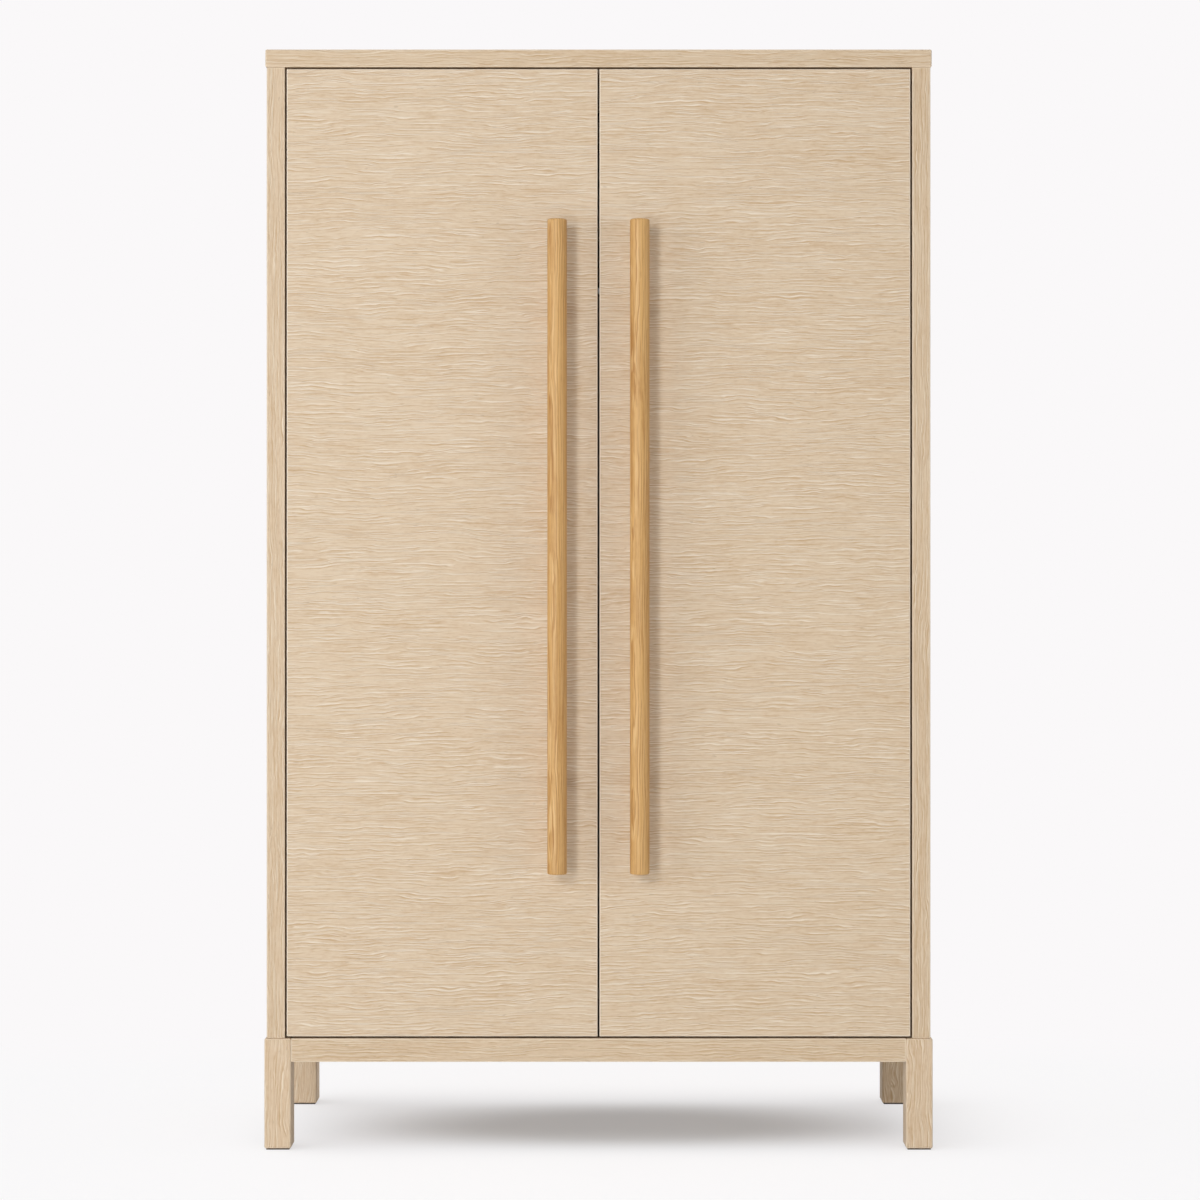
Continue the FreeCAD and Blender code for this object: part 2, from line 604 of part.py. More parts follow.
def drill_side_face(body, inner):
    """Drill the inner face of the left side panel."""
    cams = [(depth, CAM_Z) for depth in top_fixing_depths("sizes.cam_inset")]
    drill(body, "X", inner, cams, bore("sizes.cam_diameter"), "sizes.cam_height + sizes.panel_gap", -1)
    dowels = rail_dowel_spots(FRONT_RAIL_MIDDLE) + rail_dowel_spots(REAR_RAIL_MIDDLE)
    drill(body, "X", inner, dowels, bore("sizes.dowel_diameter"), FACE_HOLE, -1)
    screws = plate_screw_spots() + socket_screw_spots()
    drill(body, "X", inner, screws, SCREW_HOLE, SCREW_HOLE_DEPTH, -1)
    rows = count("pin_hole_rows")
    offsets = [f"({i} - {rows - 1} / 2) * sizes.pin_hole_pitch" for i in range(rows)]
    pins = [(depth, f"({SHELF_PIN_Z} + {offset})") for depth in shelf_pin_depths() for offset in offsets]
    drill(body, "X", inner, pins, bore("sizes.shelf_pin"), "sizes.shelf_pin_reach + sizes.panel_gap", -1)


def make_bottom_panel():
    body = new_body("bottom_panel")
    wide = f"({APRON_OUTER} - {APRON_LIP} - sizes.panel_gap)"
    narrow = f"({LEG_INNER} - sizes.panel_gap)"
    front = f"({APRON_FRONT} + {APRON_LIP} + sizes.panel_gap)"
    back = f"({CASE_BACK} - sizes.apron_recess - {APRON_LIP} - sizes.panel_gap)"
    front_notch = f"({LEG_FRONT} + sizes.leg_depth + sizes.panel_gap)"
    back_notch = f"({CASE_BACK} - sizes.leg_depth - sizes.panel_gap)"
    right = [
        (narrow, front),
        (narrow, front_notch),
        (wide, front_notch),
        (wide, back_notch),
        (narrow, back_notch),
        (narrow, back),
    ]
    left = [(f"(-{across})", along) for across, along in reversed(right)]
    pad_outline(body, "Z", LEDGE, right + left, "sizes.bottom_thickness")
    screws = either_side([(BASE_SCREW_X, depth) for depth in base_screw_depths()])
    drill(body, "Z", LEDGE, screws, bore("sizes.base_screw"), "sizes.bottom_thickness")


def make_back_panel():
    body = new_body("back_panel")
    half = f"({INNER_HALF} + sizes.back_rebate - sizes.panel_gap)"
    high = f"({TOP_UNDER} + sizes.back_rebate - sizes.panel_gap)"
    add_block(body, (f"(-{half})", BACK_FACE, LEG_TOP), (half, BACK_SCREW_Y, high))
    screws = either_side([(BACK_SCREW_X, row) for row in back_screw_rows()]) + back_screw_columns()
    drill(body, "Y", BACK_FACE, screws, SCREW_HOLE, "sizes.back_thickness")
    drill(body, "Y", BACK_FACE, WALL_HOLES, "sizes.wall_hole", "sizes.back_thickness")


def make_top_rail(label, front, middle):
    """Make a rail under the top whose front face is at this Y."""
    body = new_body(label)
    back = f"({front} + sizes.rail_thickness)"
    add_block(body, (f"(-{INNER_HALF})", front, RAIL_LOW), (INNER_HALF, back, TOP_UNDER))
    for side in SIDES:
        end = times(side, INNER_HALF)
        drill(body, "X", end, rail_dowel_spots(middle), bore("sizes.dowel_diameter"), EDGE_HOLE, -side)
    return body


def make_top_rails():
    front_rail = make_top_rail("top_front_rail", RAIL_FRONT, FRONT_RAIL_MIDDLE)
    left_screws = catch_screw_spots()
    right_screws = [(f"(-{across})", level) for across, level in left_screws]
    drill(front_rail, "Y", RAIL_FRONT, left_screws + right_screws, SCREW_HOLE, SCREW_HOLE_DEPTH)
    rear_rail = make_top_rail("top_rear_rail", f"({BACK_FACE} - sizes.rail_thickness)", REAR_RAIL_MIDDLE)
    drill(rear_rail, "Y", BACK_FACE, back_screw_columns(), SCREW_HOLE, SCREW_HOLE_DEPTH, -1)
    drill(rear_rail, "Y", BACK_FACE, WALL_HOLES, "sizes.wall_hole", "sizes.rail_thickness", -1)


def make_case_dowels():
    body = new_body("case_dowels")
    uprights = either_side([(SIDE_MIDDLE, depth) for depth in top_fixing_depths("sizes.dowel_inset")])
    low_end = f"({TOP_UNDER} + sizes.dowel_seat - sizes.dowel_length)"
    pad_rounds(body, "Z", low_end, uprights, "sizes.dowel_diameter", "sizes.dowel_length")
    spots = rail_dowel_spots(FRONT_RAIL_MIDDLE) + rail_dowel_spots(REAR_RAIL_MIDDLE)
    for side in SIDES:
        end = times(side, f"({INNER_HALF} + sizes.dowel_seat)")
        pad_rounds(body, "X", end, spots, "sizes.dowel_diameter", "sizes.dowel_length", -side)


def make_cam_fittings():
    locks = new_body("cam_locks_left_half", is_piece=False)
    depths = top_fixing_depths("sizes.cam_inset")
    spots = [(depth, CAM_Z) for depth in depths]
    pad_rounds(locks, "X", f"(-{INNER_HALF})", spots, "sizes.cam_diameter", "sizes.cam_height", -1)
    sockets = [(f"(-{CAM_BOLT_X})", depth) for depth in depths]
    socket_floor = f"({CAM_Z} - sizes.cam_bolt_head / 2 - sizes.panel_gap)"
    drill(locks, "Z", socket_floor, sockets, bore("sizes.cam_bolt_head"), "sizes.cam_diameter")
    both_sides("cam_locks", locks)
    bolts = new_body("cam_bolts")
    places = either_side([(CAM_BOLT_X, depth) for depth in depths])
    length = "sizes.cam_drop + sizes.cam_bolt_thread"
    pad_rounds(bolts, "Z", CAM_Z, places, "sizes.cam_bolt_diameter", length)
    head_low = f"({CAM_Z} - sizes.cam_bolt_head / 2)"
    pad_rounds(bolts, "Z", head_low, places, "sizes.cam_bolt_head", "sizes.cam_bolt_head")


def make_back_screws():
    body = new_body("back_panel_screws")
    spots = either_side([(BACK_SCREW_X, row) for row in back_screw_rows()]) + back_screw_columns()
    add_screws(body, "Y", BACK_SCREW_Y, spots, "sizes.back_thickness + sizes.small_screw_grip", -1)


# Inside


def make_shelf():
    shelf = new_body("upper_shelf")
    half = f"({INNER_HALF} - sizes.panel_gap)"
    high = f"({SHELF_UNDER} + sizes.shelf_thickness)"
    add_block(shelf, (f"(-{half})", SHELF_FRONT, SHELF_UNDER), (half, SHELF_BACK, high))
    front_face = value(SHELF_FRONT)
    ease(shelf, "sizes.shelf_round", lambda box: box.YMax < front_face + NEAR and box.XLength > NEAR)
    pins = new_body("shelf_pins")
    spots = [(depth, SHELF_PIN_Z) for depth in shelf_pin_depths()]
    for side in SIDES:
        end = times(side, f"({INNER_HALF} + sizes.shelf_pin_reach)")
        pad_rounds(pins, "X", end, spots, "sizes.shelf_pin", "2 * sizes.shelf_pin_reach", -side)


def make_hanging_rail():
    rod = new_body("hanging_rail")
    half = f"({INNER_HALF} - sizes.socket_plate - sizes.panel_gap)"
    middle = [(ROD_Y, ROD_Z)]
    pad_rounds(rod, "X", f"(-{half})", middle, "sizes.rod_diameter", f"2 * {half}")
    tube_bore = "(sizes.rod_diameter - 2 * sizes.rod_wall)"
    drill(rod, "X", f"(-{half})", middle, tube_bore, f"2 * {half}")
    socket = new_body("left_rail_socket")
    panel = f"(-{INNER_HALF})"
    face = f"(-{INNER_HALF} + sizes.socket_plate)"
    pad_rounds(socket, "X", panel, middle, "sizes.socket_flange", "sizes.socket_plate")
    rod_bore = bore("sizes.rod_diameter")
    pad_rounds(socket, "X", panel, middle, f"({rod_bore} + 2 * sizes.socket_wall)", "sizes.socket_length")
    drill(socket, "X", face, middle, rod_bore, "sizes.socket_length - sizes.socket_plate")
    drill(socket, "X", panel, socket_screw_spots(), SCREW_HOLE, "sizes.socket_plate")
    mirror("right_rail_socket", socket)
    screws = new_body("rail_socket_screws")
    grip = "sizes.socket_plate + sizes.small_screw_grip"
    for side in SIDES:
        flange = times(side, f"({INNER_HALF} - sizes.socket_plate)")
        add_screws(screws, "X", flange, socket_screw_spots(), grip, side)


# Base


def make_legs():
    leg = new_body("front_left_leg")
    inner = f"(-{LEG_INNER})"
    back = f"({LEG_FRONT} + sizes.leg_depth)"
    add_block(leg, (f"(-{HALF_WIDTH})", LEG_FRONT, "sizes.glide_height"), (inner, back, LEG_TOP))
    ease(leg, "sizes.leg_round", lambda box: True)
    dowel = bore("sizes.dowel_diameter")
    front_dowels = [(FRONT_DOWEL_Y, level) for level in apron_dowel_levels()]
    drill(leg, "X", inner, front_dowels, dowel, HALF_HOLE, -1)
    side_dowels = [(f"(-{SIDE_DOWEL_X})", level) for level in apron_dowel_levels()]
    drill(leg, "Y", back, side_dowels, dowel, HALF_HOLE, -1)
    drill(leg, "Z", LEG_TOP, [(f"(-{SIDE_MIDDLE})", LEG_MIDDLES[0])], dowel, HALF_HOLE, -1)
    mirror("front_right_leg", leg)
    rear_leg = mirror("rear_left_leg", leg, Vector(0, 1, 0))
    mirror("rear_right_leg", rear_leg)


def make_glides():
    body = new_body("leg_glides")
    inset = "sizes.glide_inset"
    outer = f"({HALF_WIDTH} - {inset})"
    inner = f"({LEG_INNER} + {inset})"
    front = (f"({LEG_FRONT} + {inset})", f"({LEG_FRONT} + sizes.leg_depth - {inset})")
    back = (f"({CASE_BACK} - sizes.leg_depth + {inset})", f"({CASE_BACK} - {inset})")
    for side in SIDES:
        for low, high in (front, back):
            corners = box_corners(times(side, outer), times(side, inner), low, high)
            pad_outline(body, "Z", "0", corners, "sizes.glide_height")


def apron_section(outer, inward):
    """Outline of an apron, from its outer face inwards: a tall lip and a ledge for the floor panel."""
    lip = f"({outer} {inward} {APRON_LIP})"
    inner = f"({outer} {inward} sizes.apron_thickness)"
    return [
        (outer, APRON_LOW),
        (inner, APRON_LOW),
        (inner, LEDGE),
        (lip, LEDGE),
        (lip, LEG_TOP),
        (outer, LEG_TOP),
    ]


def make_front_and_rear_aprons():
    apron = new_body("front_apron")
    section = apron_section(APRON_FRONT, "+")
    pad_outline(apron, "X", f"(-{LEG_INNER})", section, f"2 * {LEG_INNER}")
    face = value(APRON_FRONT)
    ease(apron, "sizes.apron_round", lambda box: box.YMax < face + NEAR and box.XLength > NEAR)
    dowel = bore("sizes.dowel_diameter")
    spots = [(FRONT_DOWEL_Y, level) for level in apron_dowel_levels()]
    for side in SIDES:
        drill(apron, "X", times(side, LEG_INNER), spots, dowel, HALF_HOLE, -side)
    drill(apron, "Y", APRON_INSIDE, CROSS_DOWELS, dowel, HALF_HOLE, -1)
    mirror("rear_apron", apron, Vector(0, 1, 0))


def make_side_aprons():
    apron = new_body("left_apron")
    outer = f"(-{APRON_OUTER})"
    front = f"({LEG_FRONT} + sizes.leg_depth)"
    back = f"({CASE_BACK} - sizes.leg_depth)"
    pad_outline(apron, "Y", front, apron_section(outer, "+"), f"{back} - {front}")
    face = value(outer)
    ease(apron, "sizes.apron_round", lambda box: box.XMax < face + NEAR and box.YLength > NEAR)
    dowel = bore("sizes.dowel_diameter")
    spots = [(f"(-{SIDE_DOWEL_X})", level) for level in apron_dowel_levels()]
    drill(apron, "Y", front, spots, dowel, HALF_HOLE)
    drill(apron, "Y", back, spots, dowel, HALF_HOLE, -1)
    screws = [(f"(-{BASE_SCREW_X})", depth) for depth in base_screw_depths()]
    drill(apron, "Z", APRON_LOW, screws, bore("sizes.base_screw"), f"{LEDGE} - {APRON_LOW}")
    drill(apron, "Z", APRON_LOW, screws, bore("sizes.base_screw_head"), "sizes.base_screw_sink")
    mirror("right_apron", apron)


def make_cross_rail():
    body = new_body("base_cross_rail")
    half = "(sizes.cross_rail_width / 2)"
    back = f"({CASE_BACK} - sizes.apron_recess - sizes.apron_thickness)"
    add_block(body, (f"(-{half})", APRON_INSIDE, APRON_LOW), (half, back, LEDGE))
    dowel = bore("sizes.dowel_diameter")
    drill(body, "Y", APRON_INSIDE, CROSS_DOWELS, dowel, HALF_HOLE)
    drill(body, "Y", back, CROSS_DOWELS, dowel, HALF_HOLE, -1)


def make_base_dowels():
    body = new_body("base_dowels")
    half = "sizes.dowel_length / 2"
    rear_dowel_y = f"({CASE_BACK} - sizes.apron_recess - {APRON_LIP} / 2)"
    ends = [(depth, level) for depth in (FRONT_DOWEL_Y, rear_dowel_y) for level in apron_dowel_levels()]
    for side in SIDES:
        start = times(side, f"({LEG_INNER} - {half})")
        pad_rounds(body, "X", start, ends, "sizes.dowel_diameter", "sizes.dowel_length", side)
    sides = either_side([(SIDE_DOWEL_X, level) for level in apron_dowel_levels()])
    joints = (
        (f"({LEG_FRONT} + sizes.leg_depth - {half})", sides),
        (f"({CASE_BACK} - sizes.leg_depth - {half})", sides),
        (f"({APRON_INSIDE} - {half})", CROSS_DOWELS),
        (f"({CASE_BACK} - sizes.apron_recess - sizes.apron_thickness - {half})", CROSS_DOWELS),
    )
    for start, spots in joints:
        pad_rounds(body, "Y", start, spots, "sizes.dowel_diameter", "sizes.dowel_length")
    uprights = either_side([(SIDE_MIDDLE, depth) for depth in LEG_MIDDLES])
    pad_rounds(body, "Z", f"({LEG_TOP} - {half})", uprights, "sizes.dowel_diameter", "sizes.dowel_length")


def make_base_screws():
    body = new_body("base_screws")
    spots = either_side([(BASE_SCREW_X, depth) for depth in base_screw_depths()])
    seat = f"({APRON_LOW} + sizes.base_screw_sink)"
    pad_rounds(body, "Z", seat, spots, "sizes.base_screw_head", "sizes.base_screw_head_height", -1)
    pad_rounds(body, "Z", seat, spots, "sizes.base_screw", f"{LEG_TOP} + sizes.base_screw_grip - {seat}")


# Doors


def make_doors():
    body = new_body("left_door")
    high = f"({DOOR_LOW} + {DOOR_HEIGHT})"
    add_block(body, (f"(-{DOOR_EDGE})", CASE_FRONT, DOOR_LOW), ("(-sizes.door_gap / 2)", DOOR_BACK, high))
    ease(body, "sizes.door_round", lambda box: box.YLength < NEAR)
    cups = [(f"(-{CUP_X})", level) for level in hinge_levels()]
    drill(body, "Y", DOOR_BACK, cups, "sizes.cup_diameter", "sizes.cup_depth + sizes.cup_bore_room", -1)
    ears = [(across, f"({level} {sign} sizes.ear_spacing / 2)") for across, level in cups for sign in "-+"]
    strikes = [(f"(-{CATCH_X})", level) for level in strike_screw_levels()]
    drill(body, "Y", DOOR_BACK, ears + strikes, SCREW_HOLE, SCREW_HOLE_DEPTH, -1)
    bolts = [(f"(-{BAR_X})", level) for level in post_levels()]
    drill(body, "Y", DOOR_BACK, bolts, bore("sizes.bolt_diameter"), "sizes.door_thickness", -1)
    mirror("right_door", body)


def make_handles():
    bar = new_body("left_handle_bar")
    across = f"(-{BAR_X})"
    middle = f"({BAR_BACK} - sizes.bar_diameter / 2)"
    pad_rounds(bar, "Z", BAR_LOW, [(across, middle)], "sizes.bar_diameter", "sizes.bar_length")
    ease(bar, "sizes.bar_round", lambda box: box.ZLength < NEAR)
    spots = [(across, level) for level in post_levels()]
    seat_depth = "sizes.post_seat + sizes.panel_gap"
    drill(bar, "Y", BAR_BACK, spots, bore("sizes.post_diameter"), seat_depth, -1)
    mirror("right_handle_bar", bar)
    posts = new_body("left_handle_posts")
    pad_rounds(posts, "Y", CASE_FRONT, spots, "sizes.post_diameter", "sizes.handle_gap + sizes.post_seat", -1)
    bolt_hole = bore("sizes.bolt_diameter")
    drill(posts, "Y", CASE_FRONT, spots, bolt_hole, "sizes.bolt_grip + sizes.panel_gap", -1)
    mirror("right_handle_posts", posts)
    bolts = new_body("left_handle_bolts")
    pad_rounds(bolts, "Y", DOOR_BACK, spots, "sizes.bolt_head", "sizes.bolt_head_height")
    shank = "sizes.door_thickness + sizes.bolt_grip"
    pad_rounds(bolts, "Y", DOOR_BACK, spots, "sizes.bolt_diameter", shank, -1)
    mirror("right_handle_bolts", bolts)


# Hinges


def make_hinge_cups():
    body = new_body("left_hinge_cups")
    across = f"(-{CUP_X})"
    half_width = "sizes.ear_width / 2"
    half_spacing = "sizes.ear_spacing / 2"
    low = f"({HINGE_LOW} - {half_spacing})"
    high = f"({HINGE_LOW} + {half_spacing})"
    plate = box_corners(f"({across} - {half_width})", f"({across} + {half_width})", low, high)
    pad_outline(body, "Y", DOOR_BACK, plate, "sizes.cup_rim")
    screws = [(across, low), (across, high)]
    pad_rounds(body, "Y", DOOR_BACK, screws, "sizes.ear_width", "sizes.cup_rim")
    middle = [(across, HINGE_LOW)]
    rim = "(sizes.cup_diameter + 2 * sizes.cup_rim)"
    pad_rounds(body, "Y", DOOR_BACK, middle, rim, "sizes.cup_rim")
    pad_rounds(body, "Y", DOOR_BACK, middle, f"(2 * {CUP_RADIUS})", "sizes.cup_depth", -1)
    mouth = f"({DOOR_BACK} + sizes.cup_rim)"
    inside = "sizes.cup_rim + sizes.cup_depth - sizes.cup_wall"
    drill(body, "Y", mouth, middle, f"(2 * {CUP_INNER})", inside, -1)
    drill(body, "Y", mouth, screws, SCREW_HOLE, "sizes.cup_rim", -1)
    pin = [(f"(-{PIN_X})", PIN_Y)]
    drill(body, "Z", f"({HINGE_LOW} - {CUP_RADIUS})", pin, bore("sizes.pin_diameter"), f"2 * {CUP_RADIUS}")
    repeat_up(body, HINGE_SPAN, "sizes.hinge_count")
    mirror("right_hinge_cups", body)


def make_hinge_pins():
    body = new_body("left_hinge_pins")
    half = f"sqrt({CUP_RADIUS}^2 - ({CUP_SHIFT} + sizes.pin_diameter / 2)^2)"
    pin = [(f"(-{PIN_X})", PIN_Y)]
    pad_rounds(body, "Z", f"({HINGE_LOW} - {half})", pin, "sizes.pin_diameter", f"2 * {half}")
    repeat_up(body, HINGE_SPAN, "sizes.hinge_count")
    mirror("right_hinge_pins", body)


def make_cup_screws():
    body = new_body("left_cup_screws")
    spots = [(f"(-{CUP_X})", f"({HINGE_LOW} {sign} sizes.ear_spacing / 2)") for sign in "-+"]
    mouth = f"({DOOR_BACK} + sizes.cup_rim)"
    add_screws(body, "Y", mouth, spots, "sizes.cup_rim + sizes.small_screw_grip", -1)
    repeat_up(body, HINGE_SPAN, "sizes.hinge_count")
    mirror("right_cup_screws", body)


def make_hinge_arms():
    body = new_body("left_hinge_arms")
    pin_x = f"(-{PIN_X})"
    half = "sizes.arm_thickness / 2"
    hook_inner = f"({pin_x} + {HOOK_REACH})"
    hook_outer = f"({hook_inner} + sizes.arm_thickness)"
    under = f"({PIN_Y} - {half})"
    over = f"({PIN_Y} + {half})"
    crank_back = f"({ARM_FRONT} + sizes.arm_thickness)"
    arm_face = f"(-{ARM_FACE})"
    plate_face = f"(-{PLATE_FACE})"
    ribbon = [
        (pin_x, under),
        (hook_outer, under),
        (hook_outer, crank_back),
        (arm_face, crank_back),
        (arm_face, ARM_BACK),
        (plate_face, ARM_BACK),
        (plate_face, ARM_FRONT),
        (hook_inner, ARM_FRONT),
        (hook_inner, over),
        (pin_x, over),
    ]
    low = f"({HINGE_LOW} - sizes.arm_width / 2)"
    pad_outline(body, "Z", low, ribbon, "sizes.arm_width")
    outer_bends = [ribbon[1], ribbon[2], ribbon[6]]
    inner_bends = [ribbon[3], ribbon[7], ribbon[8]]
    ease(body, "sizes.arm_bend + sizes.arm_thickness", stands_at(outer_bends))
    ease(body, "sizes.arm_bend", stands_at(inner_bends))
    pin = [(pin_x, PIN_Y)]
    pad_rounds(body, "Z", low, pin, f"(2 * {EYE_RADIUS})", "sizes.arm_width")
    drill(body, "Z", low, pin, bore("sizes.pin_diameter"), "sizes.arm_width")
    screws = [(depth, HINGE_LOW) for depth in arm_screw_depths()]
    drill(body, "X", arm_face, screws, SCREW_HOLE, "sizes.arm_thickness", -1)
    repeat_up(body, HINGE_SPAN, "sizes.hinge_count")
    mirror("right_hinge_arms", body)


def stands_at(corners):
    """Return a test for the upright edges at these corners."""
    places = [(value(across), value(along)) for across, along in corners]

    def wanted(box):
        upright = box.XLength < NEAR and box.YLength < NEAR
        return upright and any(abs(box.XMin - x) < NEAR and abs(box.YMin - y) < NEAR for x, y in places)

    return wanted


def make_hinge_plates():
    body = new_body("left_hinge_plates")
    panel = f"(-{INNER_HALF})"
    half_bar = "sizes.plate_width / 2"
    front = f"({ARM_FRONT} + sizes.plate_lead)"
    bar = box_corners(front, ARM_BACK, f"({HINGE_LOW} - {half_bar})", f"({HINGE_LOW} + {half_bar})")
    pad_outline(body, "X", panel, bar, "sizes.plate_thickness")
    half_width = "sizes.wing_width / 2"
    half_height = "sizes.wing_height / 2"
    wing_low = f"({HINGE_LOW} - {half_height})"
    wing_high = f"({HINGE_LOW} + {half_height})"
    wing_front = f"({WING_MIDDLE} - {half_width})"
    wings = box_corners(wing_front, f"({WING_MIDDLE} + {half_width})", wing_low, wing_high)
    pad_outline(body, "X", panel, wings, "sizes.plate_thickness")
    screws = [(WING_MIDDLE, f"({HINGE_LOW} {sign} sizes.wing_screw_spacing / 2)") for sign in "-+"]
    clamps = [(depth, HINGE_LOW) for depth in arm_screw_depths()]
    drill(body, "X", panel, screws + clamps, SCREW_HOLE, "sizes.plate_thickness")
    repeat_up(body, HINGE_SPAN, "sizes.hinge_count")
    mirror("right_hinge_plates", body)


def make_hinge_screws():
    plate_screws = new_body("hinge_plate_screws")
    arm_screws = new_body("hinge_arm_screws")
    clamps = [(depth, level) for level in hinge_levels() for depth in arm_screw_depths()]
    plate_grip = "sizes.plate_thickness + sizes.small_screw_grip"
    arm_grip = "sizes.arm_thickness + sizes.plate_thickness"
    for side in SIDES:
        add_screws(plate_screws, "X", times(side, PLATE_FACE), plate_screw_spots(), plate_grip, side)
        add_screws(arm_screws, "X", times(side, ARM_FACE), clamps, arm_grip, side)


# Catches


def upright_plate(across, half_width, half_height):
    """Return the corners of a plate centred on a catch, as X and Z."""
    low = f"({CATCH_Z} - {half_height})"
    high = f"({CATCH_Z} + {half_height})"
    return box_corners(f"({across} - {half_width})", f"({across} + {half_width})", low, high)


def make_catches():
    housing = new_body("left_catch")
    across = f"(-{CATCH_X})"
    outline = upright_plate(across, "sizes.catch_width / 2", "sizes.catch_height / 2")
    depth = f"{RAIL_FRONT} - {CATCH_FACE}"
    pad_outline(housing, "Y", CATCH_FACE, outline, depth)
    recess = upright_plate(across, "sizes.magnet_width / 2", "sizes.magnet_height / 2")
    cut_outline(housing, "Y", CATCH_FACE, recess, "sizes.magnet_depth")
    drill(housing, "Y", CATCH_FACE, catch_screw_spots(), bore("sizes.small_head"), HEAD_SINK)
    drill(housing, "Y", CATCH_FACE, catch_screw_spots(), SCREW_HOLE, depth)
    mirror("right_catch", housing)
    magnet = new_body("catch_magnets_left_half", is_piece=False)
    half_width = "(sizes.magnet_width / 2 - sizes.fit_clearance)"
    half_height = "(sizes.magnet_height / 2 - sizes.fit_clearance)"
    block = upright_plate(across, half_width, half_height)
    pad_outline(magnet, "Y", CATCH_FACE, block, "sizes.magnet_depth")
    both_sides("catch_magnets", magnet)
    screws = new_body("catch_screws_left_half", is_piece=False)
    seat = f"({CATCH_FACE} + {HEAD_SINK})"
    add_screws(screws, "Y", seat, catch_screw_spots(), f"{RAIL_FRONT} + sizes.small_screw_grip - {seat}", 1)
    both_sides("catch_screws", screws)


def make_strikes():
    plate = new_body("left_strike_plate")
    across = f"(-{CATCH_X})"
    outline = upright_plate(across, "sizes.strike_width / 2", "sizes.strike_height / 2")
    pad_outline(plate, "Y", DOOR_BACK, outline, "sizes.strike_thickness")
    spots = [(across, level) for level in strike_screw_levels()]
    drill(plate, "Y", DOOR_BACK, spots, SCREW_HOLE, "sizes.strike_thickness")
    mirror("right_strike_plate", plate)
    screws = new_body("left_strike_screws")
    add_screws(screws, "Y", STRIKE_FACE, spots, "sizes.strike_thickness + sizes.small_screw_grip", -1)
    mirror("right_strike_screws", screws)


def check_document():
    """Stop if any object failed or any piece has no sound shape."""
    for thing in doc.Objects:
        if "Invalid" in thing.State or "Error" in thing.State:
            raise RuntimeError(f"{thing.Label} failed: {thing.State}")
    for piece in pieces:
        if piece.Shape.isNull() or not piece.Shape.isValid():
            raise RuntimeError(f"{piece.Label} has no sound shape")


def write_pieces():
    """Write each piece to a file named after it."""
    os.makedirs("parts", exist_ok=True)
    for piece in pieces:
        piece.Shape.exportStep(f"parts/{piece.Label}.step")
        print(f"{piece.Label}: {len(piece.Shape.Solids)} solids, {piece.Shape.Volume:.1f} cubic mm")


fill_sheet()
make_top_panel()
make_side_panels()
make_bottom_panel()
make_back_panel()
make_top_rails()
make_case_dowels()
make_cam_fittings()
make_back_screws()
make_shelf()
make_hanging_rail()
make_legs()
make_glides()
make_front_and_rear_aprons()
make_side_aprons()
make_cross_rail()
make_base_dowels()
make_base_screws()
make_doors()
make_handles()
make_hinge_cups()
make_hinge_pins()
make_cup_screws()
make_hinge_arms()
make_hinge_plates()
make_hinge_screws()
make_catches()
make_strikes()
doc.recompute()
check_document()
write_pieces()
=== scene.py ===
import json
import math
from dataclasses import dataclass

import bmesh
import bpy
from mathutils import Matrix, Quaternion, Vector

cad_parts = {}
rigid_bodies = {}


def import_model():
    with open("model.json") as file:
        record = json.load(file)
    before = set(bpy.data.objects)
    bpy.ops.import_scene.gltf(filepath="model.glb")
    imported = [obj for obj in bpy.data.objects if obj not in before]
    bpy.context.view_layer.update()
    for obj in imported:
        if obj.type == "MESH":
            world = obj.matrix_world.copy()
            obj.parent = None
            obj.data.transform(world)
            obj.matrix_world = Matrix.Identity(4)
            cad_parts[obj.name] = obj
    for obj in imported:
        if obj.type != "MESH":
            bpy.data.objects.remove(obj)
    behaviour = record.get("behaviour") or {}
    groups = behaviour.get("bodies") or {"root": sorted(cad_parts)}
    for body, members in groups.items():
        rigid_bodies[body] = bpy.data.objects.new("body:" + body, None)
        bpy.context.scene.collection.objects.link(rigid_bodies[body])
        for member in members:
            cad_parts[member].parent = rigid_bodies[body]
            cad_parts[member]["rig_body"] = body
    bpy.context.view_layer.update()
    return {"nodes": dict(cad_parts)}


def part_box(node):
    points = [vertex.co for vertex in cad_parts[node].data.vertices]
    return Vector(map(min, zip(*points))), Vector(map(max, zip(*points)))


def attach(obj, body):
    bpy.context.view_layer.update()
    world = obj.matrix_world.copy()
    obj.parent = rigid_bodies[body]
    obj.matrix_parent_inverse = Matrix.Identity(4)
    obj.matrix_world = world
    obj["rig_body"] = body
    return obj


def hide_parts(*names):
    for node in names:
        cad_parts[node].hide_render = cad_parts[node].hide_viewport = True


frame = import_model()
nodes = frame["nodes"]


